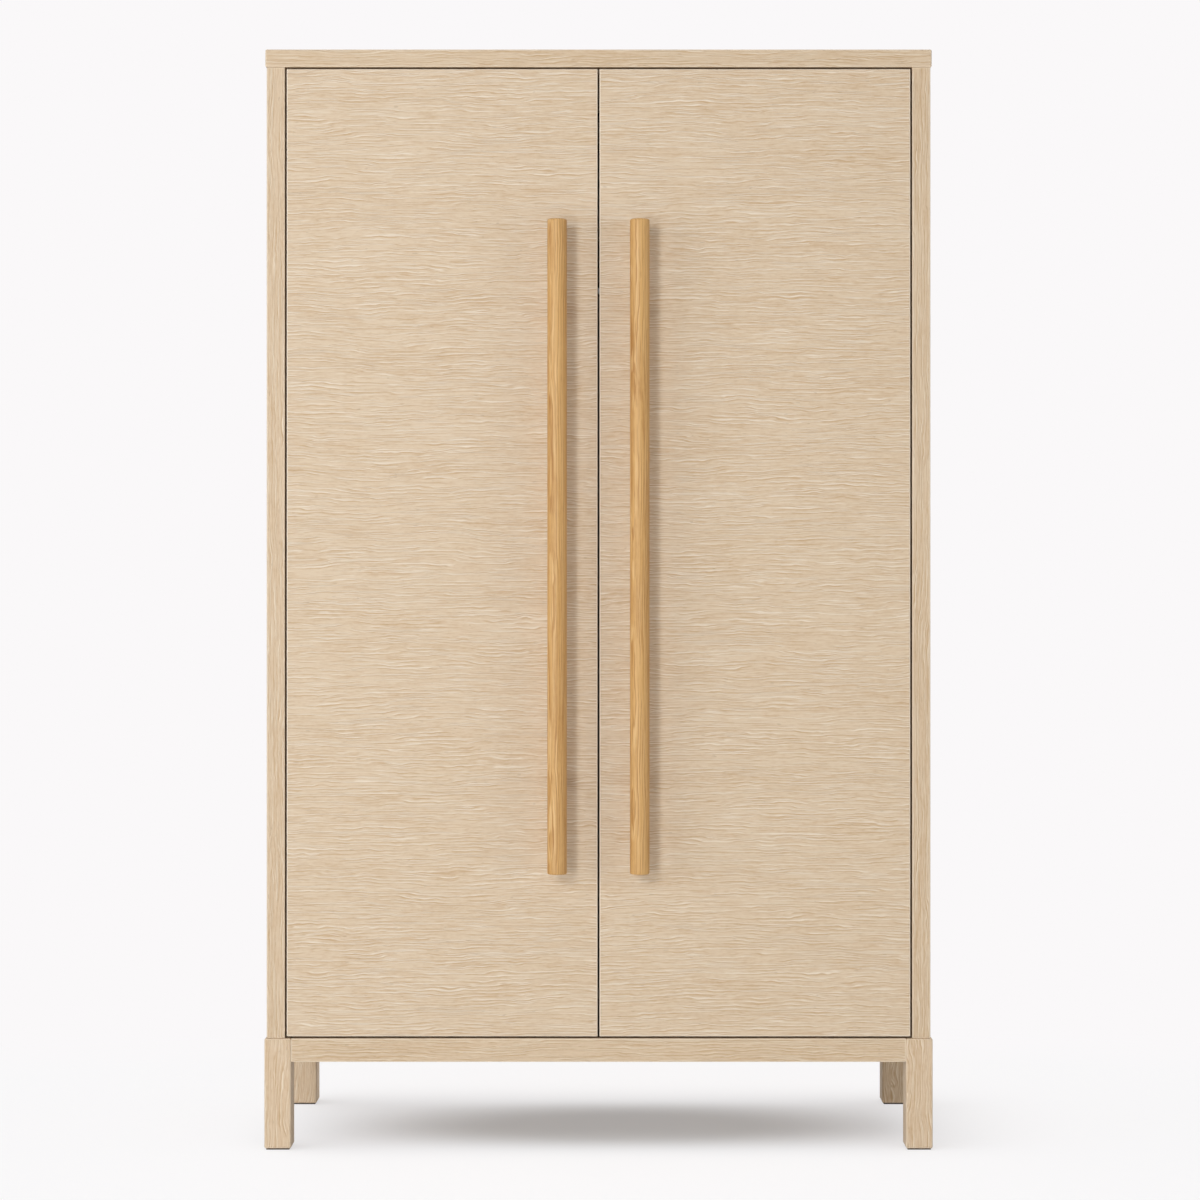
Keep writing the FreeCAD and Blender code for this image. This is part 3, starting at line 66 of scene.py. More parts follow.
class Tree:
    """The node tree of a material or a world, and short ways to add nodes to it."""

    def __init__(self, owner):
        owner.use_nodes = True
        self.owner = owner
        self.nodes = owner.node_tree.nodes
        self.links = owner.node_tree.links
        self.shader = self.nodes.get("Principled BSDF")

    def feed(self, socket, value):
        """Link a socket to another, or set its number."""
        if isinstance(value, bpy.types.NodeSocket):
            self.links.new(value, socket)
        else:
            socket.default_value = value

    def add(self, kind, *values):
        """Add a node and feed its first sockets."""
        node = self.nodes.new(kind)
        for socket, value in zip(node.inputs, values):
            self.feed(socket, value)
        return node

    def place(self, kind="Object"):
        """Coordinates of the point that is shaded, as sockets X, Y and Z."""
        coordinates = self.nodes.new("ShaderNodeTexCoord")
        return self.add("ShaderNodeSeparateXYZ", coordinates.outputs[kind]).outputs

    def maths(self, operation, *values):
        """Work out one number from others."""
        node = self.add("ShaderNodeMath", *values)
        node.operation = operation
        return node.outputs[0]

    def combine(self, x, y, z):
        """Make a vector from three numbers."""
        return self.add("ShaderNodeCombineXYZ", x, y, z).outputs[0]

    def noise(self, vector, detail=2.0, roughness=0.5):
        """Smooth noise about 0.5 over a vector."""
        node = self.add("ShaderNodeTexNoise", vector)
        node.inputs["Scale"].default_value = 1.0
        node.inputs["Detail"].default_value = detail
        node.inputs["Roughness"].default_value = roughness
        return node.outputs[0]

    def step(self, value, low, high, to_low=0.0, to_high=1.0):
        """Go smoothly from one number to another between two values."""
        node = self.add("ShaderNodeMapRange", value, low, high, to_low, to_high)
        node.interpolation_type = "SMOOTHSTEP"
        return node.outputs[0]

    def mix(self, factor, first, second):
        """Blend two colours."""
        node = self.nodes.new("ShaderNodeMix")
        node.data_type = "RGBA"
        colours = [socket for socket in node.inputs if socket.type == "RGBA"]
        factors = [socket for socket in node.inputs if socket.type == "VALUE"]
        self.feed(factors[0], factor)
        self.feed(colours[0], first)
        self.feed(colours[1], second)
        return next(socket for socket in node.outputs if socket.type == "RGBA")

    def relief(self, height, depth):
        """Press a height from 0 to 1 into the surface, to a depth in metres."""
        node = self.nodes.new("ShaderNodeBump")
        node.inputs["Distance"].default_value = depth
        self.feed(node.inputs["Height"], height)
        self.feed(self.shader.inputs["Normal"], node.outputs[0])


def linear(red, green, blue):
    """Turn a colour of 0 to 255 as seen on screen into the linear one that shaders use."""
    shares = [part / 255 for part in (red, green, blue)]
    return [s / 12.92 if s <= 0.04045 else ((s + 0.055) / 1.055) ** 2.4 for s in shares] + [1.0]


def darker(colour, share):
    """A share of a colour."""
    return [share * part for part in colour[:3]] + [1.0]


# Which coordinate runs along the grain, and which two run across it
GRAIN = {"X": "XZY", "Y": "YXZ", "Z": "ZXY"}
# Distance along the grain between the patterns of two seeds, in metres
SEED_STEP = 3.7
NOISE_MEAN = 0.5
# Sizes of the blots that each noise is made of, along and across the grain, in metres
SWAY_SIZE = (0.20, 0.07)
RIPPLE_SIZE = (0.028, 0.012)
BAND_SIZE = (0.35, 0.030)
FLECK_SIZE = (0.010, 0.0026)
# Where in the noise each pattern starts, so that no two are alike
LINE_SHIFT = 3.0
FIBRE_SHIFT = 7.0
RIPPLE_SHIFT = 11.0
CLOSER_LINE_SHIFT = 19.0
BAND_SHIFT = 23.0
PORE_SHIFT = 31.0
FLECK_SHIFT = 43.0
# Raised lines come in two sets, the second with this share of the first one's pitch
CLOSER_PITCH = 0.8
# Noise that moves the lines: its size, as shares of their length and pitch, and its reach in radians
DRIFT_LENGTH = 2.0
DRIFT_WIDTH = 5.0
DRIFT_ANGLE = 7.0
# Noise that breaks the lines: its width, as a share of their pitch, its start, and where a line fades in
BREAK_WIDTH = 0.9
BREAK_SHIFT = 2.0
BREAK_RANGE = (0.44, 0.62)
# The part of a wave that is raised, how many radians beneath it the painted shade lies, and how strong
# that is
CREST_RANGE = (0.35, 1.0)
PAINTED_SHADE_LAG = 1.9
PAINTED_SHADE_STRENGTH = 0.8
# Fibres: their size as a share of a line's length and pitch, and what they add to the wood's roughness
FIBRE_SHARE = 0.45
FIBRE_RANGE = (0.2, 0.9)
FIBRE_ROUGHNESS = (0.08, -0.06)
# From the dark to the middle tone of the wood between the lines
TONE_RANGE = (-0.3, 0.8)
# Pores: how softly they end, and their tone as a share of the dark one
PORE_EDGE = 0.08
PORE_TONE = 0.6
# Heights as shares of the relief's depth
LINE_HEIGHT = 0.8
FIBRE_HEIGHT = 0.5
# Painted highlight along a board's front edges: how far in from an edge it reaches, in metres, and how
# strong it is
EDGE_HIGHLIGHT_WIDTH = 0.0024
EDGE_HIGHLIGHT_STRENGTH = 0.8


class Grain:
    """Coordinates along and across a grain, and noise stretched along it."""

    def __init__(self, tree, along, seed=0):
        self.tree = tree
        self.place = tree.place()
        u, self.v, self.w = (self.place[letter] for letter in GRAIN[along])
        self.u = tree.maths("ADD", u, seed * SEED_STEP)

    def field(self, size, detail=2.0, shift=0.0):
        """Noise in blots of a size along and across the grain."""
        along, across = size
        vector = self.tree.combine(
            self.tree.maths("MULTIPLY_ADD", self.u, 1 / along, shift),
            self.tree.maths("MULTIPLY", self.v, 1 / across),
            self.tree.maths("MULTIPLY", self.w, 1 / across),
        )
        return self.tree.noise(vector, detail)

    def stray(self, sway, ripple):
        """Bend the grain sideways, far over long stretches and a little over short ones."""
        maths = self.tree.maths
        long_bend = self.field(SWAY_SIZE)
        short_bend = self.field(RIPPLE_SIZE, detail=1.0, shift=RIPPLE_SHIFT)
        swaying = maths("MULTIPLY_ADD", long_bend, sway, -sway * NOISE_MEAN)
        rippling = maths("MULTIPLY_ADD", short_bend, ripple, -ripple * NOISE_MEAN)
        bend = maths("ADD", swaying, rippling)
        self.v = maths("ADD", self.v, bend)
        self.w = maths("ADD", self.w, bend)

    def lines(self, length, pitch, shift):
        """Raised lines, broken into stretches, with pale crests that are partly grain and partly painted
        highlight, and the painted shade beneath each.
        """
        maths = self.tree.maths
        drift = self.field((DRIFT_LENGTH * length, DRIFT_WIDTH * pitch), detail=1.0, shift=shift)
        breaks = self.field((length, BREAK_WIDTH * pitch), detail=1.0, shift=shift + BREAK_SHIFT)
        turns = maths("MULTIPLY", maths("ADD", self.v, self.w), 2 * math.pi / pitch)
        phase = maths("MULTIPLY_ADD", drift, DRIFT_ANGLE, turns)
        shown = self.tree.step(breaks, *BREAK_RANGE)
        light = self.tree.step(maths("SINE", phase), *CREST_RANGE)
        painted_shade = self.tree.step(maths("SINE", maths("ADD", phase, PAINTED_SHADE_LAG)), *CREST_RANGE)
        return maths("MULTIPLY", light, shown), maths("MULTIPLY", painted_shade, shown)


@dataclass(frozen=True)
class Look:
    """How a wood looks, with sizes in metres."""

    # Raised lines: distance from one to the next, length, and how strongly their painted highlight and
    # painted shade show
    pitch: float = 0.0056
    length: float = 0.080
    lines: float = 0.92
    # How far they bend over long stretches and over short ones
    sway: float = 0.014
    ripple: float = 0.0026
    # How strongly broad bands and fine flecks show
    bands: float = 0.60
    flecks: float = 0.7
    # Pores: length and width, the noise above which they show, and how strongly
    pore_size: tuple = (0.012, 0.0022)
    pore_rarity: float = 0.78
    pore_strength: float = 0.30
    # Depth of the relief, and the finish
    depth: float = 0.0004
    roughness: float = 0.50
    gloss: float = 0.35


def raised_lines(grain, look):
    """Two sets of raised lines over each other: their crests, partly grain and partly painted highlight,
    and their painted shade.
    """
    maths = grain.tree.maths
    light, painted_shade = grain.lines(look.length, look.pitch, LINE_SHIFT)
    more_light, more_painted_shade = grain.lines(look.length, CLOSER_PITCH * look.pitch, CLOSER_LINE_SHIFT)
    return maths("MAXIMUM", light, more_light), maths("MAXIMUM", painted_shade, more_painted_shade)


def wood_tone(grain, fibre, look):
    """How pale the wood is between its lines, from fibres, broad bands and fine flecks."""
    maths = grain.tree.maths
    band = grain.field(BAND_SIZE, detail=3.0, shift=BAND_SHIFT)
    fleck = grain.field(FLECK_SIZE, detail=1.0, shift=FLECK_SHIFT)
    tone = maths("MULTIPLY_ADD", maths("SUBTRACT", band, NOISE_MEAN), look.bands, fibre)
    return maths("MULTIPLY_ADD", maths("SUBTRACT", fleck, NOISE_MEAN), look.flecks, tone)


def wood_pores(grain, look):
    """Short pores along the grain."""
    noise = grain.field(look.pore_size, detail=0.0, shift=PORE_SHIFT)
    pore = grain.tree.step(noise, look.pore_rarity, look.pore_rarity + PORE_EDGE)
    return grain.tree.maths("MULTIPLY", pore, look.pore_strength)


def beyond(tree, value, start, end):
    """How far a value is past the nearer end of a range, below 0 inside it."""
    off = tree.maths("ABSOLUTE", tree.maths("SUBTRACT", value, (start + end) / 2))
    return tree.maths("SUBTRACT", off, (end - start) / 2)


def painted_edge_highlight(grain, low, high):
    """Painted highlight mask, 1 along a board's front edges; a board on one side shares it with its
    mirror image.
    """
    tree = grain.tree
    x = grain.place["X"]
    ends = low[0], high[0]
    if low[0] * high[0] > 0:
        x = tree.maths("ABSOLUTE", x)
        ends = sorted((abs(low[0]), abs(high[0])))
    past_side = beyond(tree, x, *ends)
    past_end = beyond(tree, grain.place["Z"], low[2], high[2])
    edge = tree.step(tree.maths("MAXIMUM", past_side, past_end), -EDGE_HIGHLIGHT_WIDTH, -EDGE_HIGHLIGHT_WIDTH / 2)
    front = tree.step(grain.place["Y"], low[1] + EDGE_HIGHLIGHT_WIDTH / 2, low[1] + EDGE_HIGHLIGHT_WIDTH / 4)
    return tree.maths("MULTIPLY", edge, front)


def oak(name, along, seed, tones, look=Look(), highlight_box=None):
    """Brushed oak in a pale, a middle and a dark tone, with painted highlight and painted shade on its
    raised lines, and painted highlight along the edges round the box of a board.
    """
    pale, middle, dark = tones
    tree = Tree(bpy.data.materials.new(name))
    grain = Grain(tree, along, seed)
    grain.stray(look.sway, look.ripple)
    light, painted_shade = raised_lines(grain, look)
    fibre = grain.field((FIBRE_SHARE * look.length, FIBRE_SHARE * look.pitch), shift=FIBRE_SHIFT)
    tone = wood_tone(grain, fibre, look)
    pore = wood_pores(grain, look)

    colour = tree.mix(tree.step(tone, *TONE_RANGE), dark, middle)
    # Painted shade: a dark line beneath each raised line, as if lit from above
    colour = tree.mix(tree.maths("MULTIPLY", painted_shade, PAINTED_SHADE_STRENGTH * look.lines), colour, dark)
    # Pale crests of the raised lines: partly pale grain, partly painted highlight
    colour = tree.mix(tree.maths("MULTIPLY", light, look.lines), colour, pale)
    colour = tree.mix(pore, colour, darker(dark, PORE_TONE))
    # Painted highlight along the board's front edges, in the pale tone
    if highlight_box:
        edge_highlight = tree.maths("MULTIPLY", painted_edge_highlight(grain, *highlight_box), EDGE_HIGHLIGHT_STRENGTH)
        colour = tree.mix(edge_highlight, colour, pale)
    tree.feed(tree.shader.inputs["Base Color"], colour)

    dull, bright = (look.roughness + part for part in FIBRE_ROUGHNESS)
    tree.feed(tree.shader.inputs["Roughness"], tree.step(fibre, *FIBRE_RANGE, dull, bright))
    tree.shader.inputs["Specular IOR Level"].default_value = look.gloss
    fibre_height = tree.maths("MULTIPLY", fibre, FIBRE_HEIGHT)
    height = tree.maths("MULTIPLY_ADD", light, LINE_HEIGHT, fibre_height)
    tree.relief(tree.maths("SUBTRACT", height, pore), look.depth)
    return tree.owner


# Metal: sizes of drawing lines and clouds, along and across, in metres, and the clouds' tone
DRAWN_LINE_SIZE = (1 / 60, 1 / 4000)
CLOUD_SIZE = (1 / 90, 1 / 90)
CLOUD_TONE = 0.86
# Noise of the drawing lines, and the shares of the roughness at its two ends
DRAWN_LINE_RANGE = (0.3, 0.7)
DRAWN_LINE_ROUGHNESS = (0.8, 1.25)


def metal(name, colour, roughness, along, depth):
    """Plated metal with fine drawing lines along one axis, and faint clouds."""
    tree = Tree(bpy.data.materials.new(name))
    grain = Grain(tree, along)
    lines = grain.field(DRAWN_LINE_SIZE)
    cloud = grain.field(CLOUD_SIZE)
    clouded = tree.mix(cloud, darker(colour, CLOUD_TONE), colour)
    tree.feed(tree.shader.inputs["Base Color"], clouded)
    tree.shader.inputs["Metallic"].default_value = 1.0
    bright, dull = (roughness * share for share in DRAWN_LINE_ROUGHNESS)
    tree.feed(tree.shader.inputs["Roughness"], tree.step(lines, *DRAWN_LINE_RANGE, bright, dull))
    tree.relief(lines, depth)
    return tree.owner


# Even textures: their noise, the part of it from dark to light and from dull to bright, and by how much
SPECK_DETAIL = 3.0
SPECK_SHARPNESS = 0.6
SPECK_TONE_RANGE = (0.35, 0.65)
SPECK_ROUGH_RANGE = (0.3, 0.7)
SPECK_ROUGHNESS = 0.06


def speckled(name, light, dark, fineness, roughness, depth):
    """A fine even texture, with so many specks to a metre: moulded plastic, felt or sintered magnet."""
    tree = Tree(bpy.data.materials.new(name))
    coordinates = tree.nodes.new("ShaderNodeTexCoord")
    spread = tree.add("ShaderNodeVectorMath", coordinates.outputs["Object"])
    spread.operation = "SCALE"
    spread.inputs["Scale"].default_value = fineness
    specks = tree.noise(spread.outputs[0], SPECK_DETAIL, SPECK_SHARPNESS)
    colour = tree.mix(tree.step(specks, *SPECK_TONE_RANGE), dark, light)
    tree.feed(tree.shader.inputs["Base Color"], colour)
    dull = roughness + SPECK_ROUGHNESS
    bright = roughness - SPECK_ROUGHNESS
    tree.feed(tree.shader.inputs["Roughness"], tree.step(specks, *SPECK_ROUGH_RANGE, dull, bright))
    tree.relief(specks, depth)
    return tree.owner


def paint(material, *names):
    """Give CAD nodes a material."""
    for name in names:
        for slot in nodes[name].material_slots:
            slot.material = material


# Woods: pale, middle and dark tone
DOOR_OAK = (linear(233, 219, 200), linear(219, 199, 173), linear(192, 160, 122))
CASE_OAK = (linear(229, 212, 188), linear(215, 193, 165), linear(188, 156, 117))
LEG_OAK = (linear(234, 217, 194), linear(221, 199, 172), linear(194, 162, 124))
HANDLE_OAK = (linear(226, 188, 132), linear(210, 166, 104), linear(158, 106, 46))
BEECH = (linear(222, 190, 150), linear(205, 168, 125), linear(180, 140, 98))
CASE_LOOK = Look(pitch=0.0052, length=0.09, sway=0.012)
LEG_LOOK = Look(pitch=0.0050, sway=0.030, ripple=0.0024, gloss=0.15)
HANDLE_LOOK = Look(
    pitch=0.0055, length=0.16, lines=0.75, sway=0.008, ripple=0.0010, bands=1.6, flecks=0.3,
    pore_size=(0.030, 0.0018), pore_rarity=0.72, pore_strength=0.25,
    depth=0.00012, roughness=0.44, gloss=0.4,
)
# Metals, and the light and dark tone of the other materials
NICKEL = linear(205, 205, 203)
CHROME = linear(222, 224, 226)
TAN_PLASTIC = (linear(196, 172, 142), linear(182, 158, 128))
FERRITE = (linear(66, 66, 70), linear(48, 48, 52))
FELT = (linear(84, 74, 66), linear(58, 50, 44))

paint(oak("left_door_oak", "X", 1, DOOR_OAK, highlight_box=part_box("left_door")), "left_door")
paint(oak("right_door_oak", "X", 2, DOOR_OAK, highlight_box=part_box("right_door")), "right_door")
paint(oak("top_oak", "X", 3, CASE_OAK, CASE_LOOK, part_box("top_panel")),
      "top_panel", "top_front_rail", "top_rear_rail", "upper_shelf")
paint(oak("side_oak", "Z", 4, CASE_OAK, CASE_LOOK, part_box("left_side_panel")),
      "left_side_panel", "right_side_panel", "back_panel")
paint(oak("leg_oak", "Z", 5, LEG_OAK, LEG_LOOK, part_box("front_left_leg")),
      "front_left_leg", "front_right_leg", "rear_left_leg", "rear_right_leg")
paint(oak("apron_oak", "X", 6, CASE_OAK, CASE_LOOK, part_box("front_apron")),
      "front_apron", "rear_apron", "bottom_panel")
paint(oak("side_apron_oak", "Y", 7, CASE_OAK, CASE_LOOK),
      "left_apron", "right_apron", "base_cross_rail")
paint(oak("handle_oak", "Z", 8, HANDLE_OAK, HANDLE_LOOK),
      "left_handle_bar", "right_handle_bar", "left_handle_posts", "right_handle_posts")
paint(oak("dowel_beech", "Z", 9, BEECH), "case_dowels", "base_dowels")
STEEL = metal("fitting_steel", NICKEL, roughness=0.28, along="Z", depth=0.000004)
paint(STEEL, "cam_bolts")
for side in ("left", "right"):
    for name in ("hinge_cups", "hinge_pins", "hinge_arms", "hinge_plates", "strike_plate"):
        paint(STEEL, f"{side}_{name}")
paint(metal("rail_chrome", CHROME, roughness=0.10, along="X", depth=0.000002),
      "hanging_rail", "left_rail_socket", "right_rail_socket")
paint(speckled("catch_plastic", *TAN_PLASTIC, fineness=900.0, roughness=0.5, depth=0.00003),
      "left_catch", "right_catch")
paint(speckled("magnet_ferrite", *FERRITE, fineness=1400.0, roughness=0.55, depth=0.00003),
      "catch_magnets")
paint(speckled("glide_felt", *FELT, fineness=1600.0, roughness=0.9, depth=0.0002), "leg_glides")


# Fittings: heads with a drive recess, eased rims and points, where the CAD has plain round forms
SCREW_SHANK = 0.00175
SCREW_HEAD = 0.0018
BASE_SHANK = 0.0025
BASE_HEAD = 0.0040
BOLT_SHANK = 0.0025
BOLT_HEAD = 0.0035
CAM_RIM = 0.0006
CAM_RECESS = 0.0022
# A screw's point: its blunt end and its length, as shares of the shank's radius
POINT_RADIUS = 0.3
POINT_LENGTH = 1.6
# A rounded head from below: depth under its top as a share of its height, and share of its radius
HEAD_SECTION = ((1.0, 0.96), (0.92, 1.0), (0.45, 1.0), (0.20, 0.93), (0.06, 0.80), (0.0, 0.64))
# Depth of a drive recess as a share of the head's height
RECESS_DEPTH = 0.65
# Reach and half width of a cross's arms, at its mouth and its floor, as shares of the head's radius
CROSS_MOUTH = (0.54, 0.13)
CROSS_FLOOR = (0.40, 0.10)
CAM_MOUTH = (0.60, 0.13)
CAM_FLOOR = (0.50, 0.11)
# Reach of a hexagon's corners likewise, and the number of its sides and of the points along each
HEX_MOUTH = 0.46
HEX_FLOOR = 0.44
HEX_SIDES = 6
HEX_STEPS = 4
# A shelf pin's eased ends, as shares of its radius: distance from the end, and radius there
PIN_FOOT = ((0.0, 0.7), (0.3, 1.0))
PIN_HEAD = ((0.5, 1.0), (0.2, 0.88), (0.0, 0.5))
# Turn of each fitting from the one before, in radians, so that the recesses don't line up
TURN = 2.4
# Edges sharper than this, in degrees, aren't shaded smoothly
SHARP_ANGLE = 35
# Corners of a mesh nearer than this, in metres, are one
WELD = 1e-6


def cross(radius, reach, half):
    """Points round a cross in a head of some radius, from the end of one arm."""
    reach *= radius
    half *= radius
    waist = (reach + half) / 2
    arm = [(reach, -half), (reach, 0.0), (reach, half), (waist, half), (half, half), (half, waist)]
    points = []
    for _ in range(4):
        points += arm
        arm = [(-b, a) for a, b in arm]
    return points


def hexagon(reach):
    """Points round a hexagon."""
    angles = [2 * math.pi * k / HEX_SIDES for k in range(HEX_SIDES + 1)]
    corners = [(reach * math.cos(angle), reach * math.sin(angle)) for angle in angles]
    points = []
    for (a, b), (c, d) in zip(corners, corners[1:]):
        for k in range(HEX_STEPS):
            share = k / HEX_STEPS
            points.append((a + (c - a) * share, b + (d - b) * share))
    return points


def ring(radius, outline):
    """A circle with its points in line with those of an outline."""
    return [(radius * a / math.hypot(a, b), radius * b / math.hypot(a, b)) for a, b in outline]


def screw_outlines(radius, length, shank, head, mouth, floor):
    """Outlines of a screw from its point, over a rounded head, to the floor of its recess."""
    outlines = [
        (0.0, ring(POINT_RADIUS * shank, mouth)),
        (POINT_LENGTH * shank, ring(shank, mouth)),
        (length - head, ring(shank, mouth)),
    ]
    for depth, share in HEAD_SECTION:
        outlines.append((length - depth * head, ring(share * radius, mouth)))
    outlines.append((length, mouth))
    outlines.append((length - RECESS_DEPTH * head, floor))
    return outlines


def cross_screw(radius, length, shank, head):
    """Outlines of a screw with a cross recess."""
    mouth = cross(radius, *CROSS_MOUTH)
    floor = cross(radius, *CROSS_FLOOR)
    return screw_outlines(radius, length, shank, head, mouth, floor)


def small_screw(radius, length):
    """Outlines of a screw that holds the back, a hinge, a catch, a strike plate or a rail socket."""
    return cross_screw(radius, length, SCREW_SHANK, SCREW_HEAD)


def base_screw(radius, length):
    """Outlines of a screw that holds the base to the case."""
    return cross_screw(radius, length, BASE_SHANK, BASE_HEAD)


def handle_bolt(radius, length):
    """Outlines of a bolt with a hexagon recess, which holds a handle post."""
    mouth = hexagon(HEX_MOUTH * radius)
    floor = hexagon(HEX_FLOOR * radius)
    return screw_outlines(radius, length, BOLT_SHANK, BOLT_HEAD, mouth, floor)


def cam_lock(radius, length):
    """Outlines of a cam with eased rims and a cross recess."""
    mouth = cross(radius, *CAM_MOUTH)
    floor = cross(radius, *CAM_FLOOR)
    return [
        (0.0, ring(radius - CAM_RIM, mouth)),
        (CAM_RIM, ring(radius, mouth)),
        (length - CAM_RIM, ring(radius, mouth)),
        (length, ring(radius - CAM_RIM, mouth)),
        (length, mouth),
        (length - CAM_RECESS, floor),
    ]


def shelf_pin(radius, length):
    """Outlines of a pin with eased ends."""
    outline = hexagon(radius)
    foot = [(off * radius, ring(share * radius, outline)) for off, share in PIN_FOOT]
    head = [(length - off * radius, ring(share * radius, outline)) for off, share in PIN_HEAD]
    return foot + head


def solids(name):
    """Corners of the box round each separate solid of a CAD node."""
    mesh = bmesh.new()
    mesh.from_mesh(nodes[name].data)
    bmesh.ops.remove_doubles(mesh, verts=mesh.verts, dist=WELD)
    left = set(mesh.verts)
    boxes = []
    while left:
        found = [left.pop()]
        for vert in found:
            near = [edge.other_vert(vert) for edge in vert.link_edges]
            new = left.intersection(near)
            left -= new
            found += new
        places = list(zip(*(vert.co for vert in found)))
        low = Vector([min(row) for row in places])
        high = Vector([max(row) for row in places])
        boxes.append((low, high))
    mesh.free()
    return sorted(boxes, key=lambda box: [round(part, 5) for part in box[0]])


def loft(mesh, foot, axis, turn, outlines):
    """Skin a stack of outlines along an axis, and close its two ends."""
    side = axis.orthogonal().normalized()
    side.rotate(Quaternion(axis, turn))
    up = axis.cross(side)
    loops = []
    for height, points in outlines:
        loops.append([mesh.verts.new(foot + height * axis + a * side + b * up) for a, b in points])
    for low, high in zip(loops, loops[1:]):
        for k in range(len(low)):
            mesh.faces.new((low[k - 1], low[k], high[k], high[k - 1]))
    mesh.faces.new(loops[0][::-1])
    mesh.faces.new(loops[-1])


def fit(name, outlines, axis=None):
    """Show a node's fittings in a finer form, heads along an axis or, without one, to the middle."""
    mesh = bmesh.new()
    for number, (low, high) in enumerate(solids(name)):
        middle = (low + high) / 2
        head = Vector(axis) if axis else Vector((-math.copysign(1, middle.x), 0, 0))
        span = high - low
        length = abs(span.dot(head))
        width = (sum(span) - length) / 2
        foot = middle - head * length / 2
        loft(mesh, foot, head, TURN * number, outlines(width / 2, length))
    data = bpy.data.meshes.new(f"turned_{name}")
    mesh.to_mesh(data)
    mesh.free()
    data.shade_smooth()
    data.set_sharp_from_angle(angle=math.radians(SHARP_ANGLE))
    data.materials.append(STEEL)
    piece = bpy.data.objects.new(f"turned_{name}", data)
    bpy.context.scene.collection.objects.link(piece)
    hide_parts(name)
    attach(piece, nodes[name]["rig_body"])


BACKWARDS = (0, 1, 0)
FORWARDS = (0, -1, 0)
DOWN = (0, 0, -1)

fit("back_panel_screws", small_screw, BACKWARDS)
fit("rail_socket_screws", small_screw)
fit("hinge_plate_screws", small_screw)
fit("hinge_arm_screws", small_screw)
fit("catch_screws", small_screw, FORWARDS)
fit("base_screws", base_screw, DOWN)
fit("cam_locks", cam_lock)
fit("shelf_pins", shelf_pin)
for side in ("left", "right"):
    fit(f"{side}_cup_screws", small_screw, BACKWARDS)
    fit(f"{side}_strike_screws", small_screw, BACKWARDS)
    fit(f"{side}_handle_bolts", handle_bolt, BACKWARDS)


# Camera: level, in front of the wardrobe, with a small shift for the photograph's framing
CAMERA_PLACE = (0.02, -5.841, 0.93)
CAMERA_TURN = (math.radians(90), 0, 0)
CAMERA_SENSOR = 36
CAMERA_LENS = 102.02
CAMERA_SHIFT_X = -0.0089
CAMERA_SHIFT_Y = -0.0128


def make_camera():
    """Add the camera of the photograph's view."""
    camera = bpy.data.objects.new("camera", bpy.data.cameras.new("camera"))
    bpy.context.scene.collection.objects.link(camera)
    camera.location = CAMERA_PLACE
    camera.rotation_euler = CAMERA_TURN
    camera.data.sensor_width = CAMERA_SENSOR
    camera.data.lens = CAMERA_LENS
    camera.data.shift_x = CAMERA_SHIFT_X
    camera.data.shift_y = CAMERA_SHIFT_Y
    bpy.context.scene.camera = camera


# Studio: the background that is seen, and the light from all around, which grows up to SKY_TOP
BACKDROP = linear(250, 248, 249)
SKY_COLOUR = (1.0, 0.955, 0.90, 1.0)
HORIZON_LIGHT = 0.12
ZENITH_LIGHT = 0.35
SKY_TOP = 0.8
# Floor: its colour and finish, and how much of the backdrop's light is added where it is seen
FLOOR_SHADE = (0.60, 0.62, 0.64, 1.0)
FLOOR_ROUGHNESS = 0.9
FLOOR_LIFT = 0.33
# Its half width in metres, and how far it lies below the feet, so that their faces don't coincide
FLOOR_REACH = 30.0
FLOOR_DROP = 0.0004
# Painted light: it pales outwards in ovals of the base's proportions, a little to the right, away from
# the key lamp, fading the cast shadow's ends
FLOOR_OVAL = 1.8
FLOOR_SHIFT = 0.05
# Between these distances it melts into the backdrop, first to a share, which paints out part of the cast
# shadow, and then wholly
PAINTED_SHADOW_FADE = (0.2, 0.6)
PAINTED_SHADOW_FADE_SHARE = 0.5
FAR_MELT = (0.9, 2.2)


@dataclass(frozen=True)
class Lamp:
    """A soft lamp, with its power in watts, width and height, and whether glossy surfaces show it."""

    place: tuple
    target: tuple
    power: float
    size: tuple
    colour: tuple = (1.0, 1.0, 1.0)
    in_gloss: bool = True


LAMPS = {
    "key": Lamp((-1.95, -6.20, 2.50), (0, -0.25, 0.95), 123, (1.7, 1.7)),
    "left": Lamp((-4.3, -2.9, 1.4), (0, -0.25, 0.9), 62, (3.0, 2.6)),
    "low": Lamp((-2.2, -6.6, 0.25), (0, 0, 0.1), 68, (0.55, 0.55)),
    "right": Lamp((3.8, -2.6, 0.7), (0, -0.25, 0.7), 26, (2.0, 2.0), colour=(1.0, 0.93, 0.82)),
    "top": Lamp((0, 0.5, 4.2), (0, 0.5, 0), 34, (1.8, 1.8), in_gloss=False),
    "rear": Lamp((2.4, 5.2, 2.2), (0, 0.3, 0.9), 150, (2.2, 2.2), in_gloss=False),
}
# The floor's own lamp: where it shines from, its strength, its width in degrees, and what shades it
SUN_PLACE = (-0.5, -0.3, 1.6)
SUN_TARGET = (0, 0, 0)
SUN_STRENGTH = 2.4
SUN_ANGLE = 80
SHADING_NODES = (
    "bottom_panel", "front_left_leg", "front_right_leg", "rear_left_leg", "rear_right_leg",
)


def seen_rays(tree):
    """1 for rays from the camera, a mirror or glass, and 0 for rays that carry light."""
    path = tree.nodes.new("ShaderNodeLightPath").outputs
    mirrored = tree.maths("MAXIMUM", path["Is Glossy Ray"], path["Is Transmission Ray"])
    return tree.maths("MAXIMUM", path["Is Camera Ray"], mirrored)


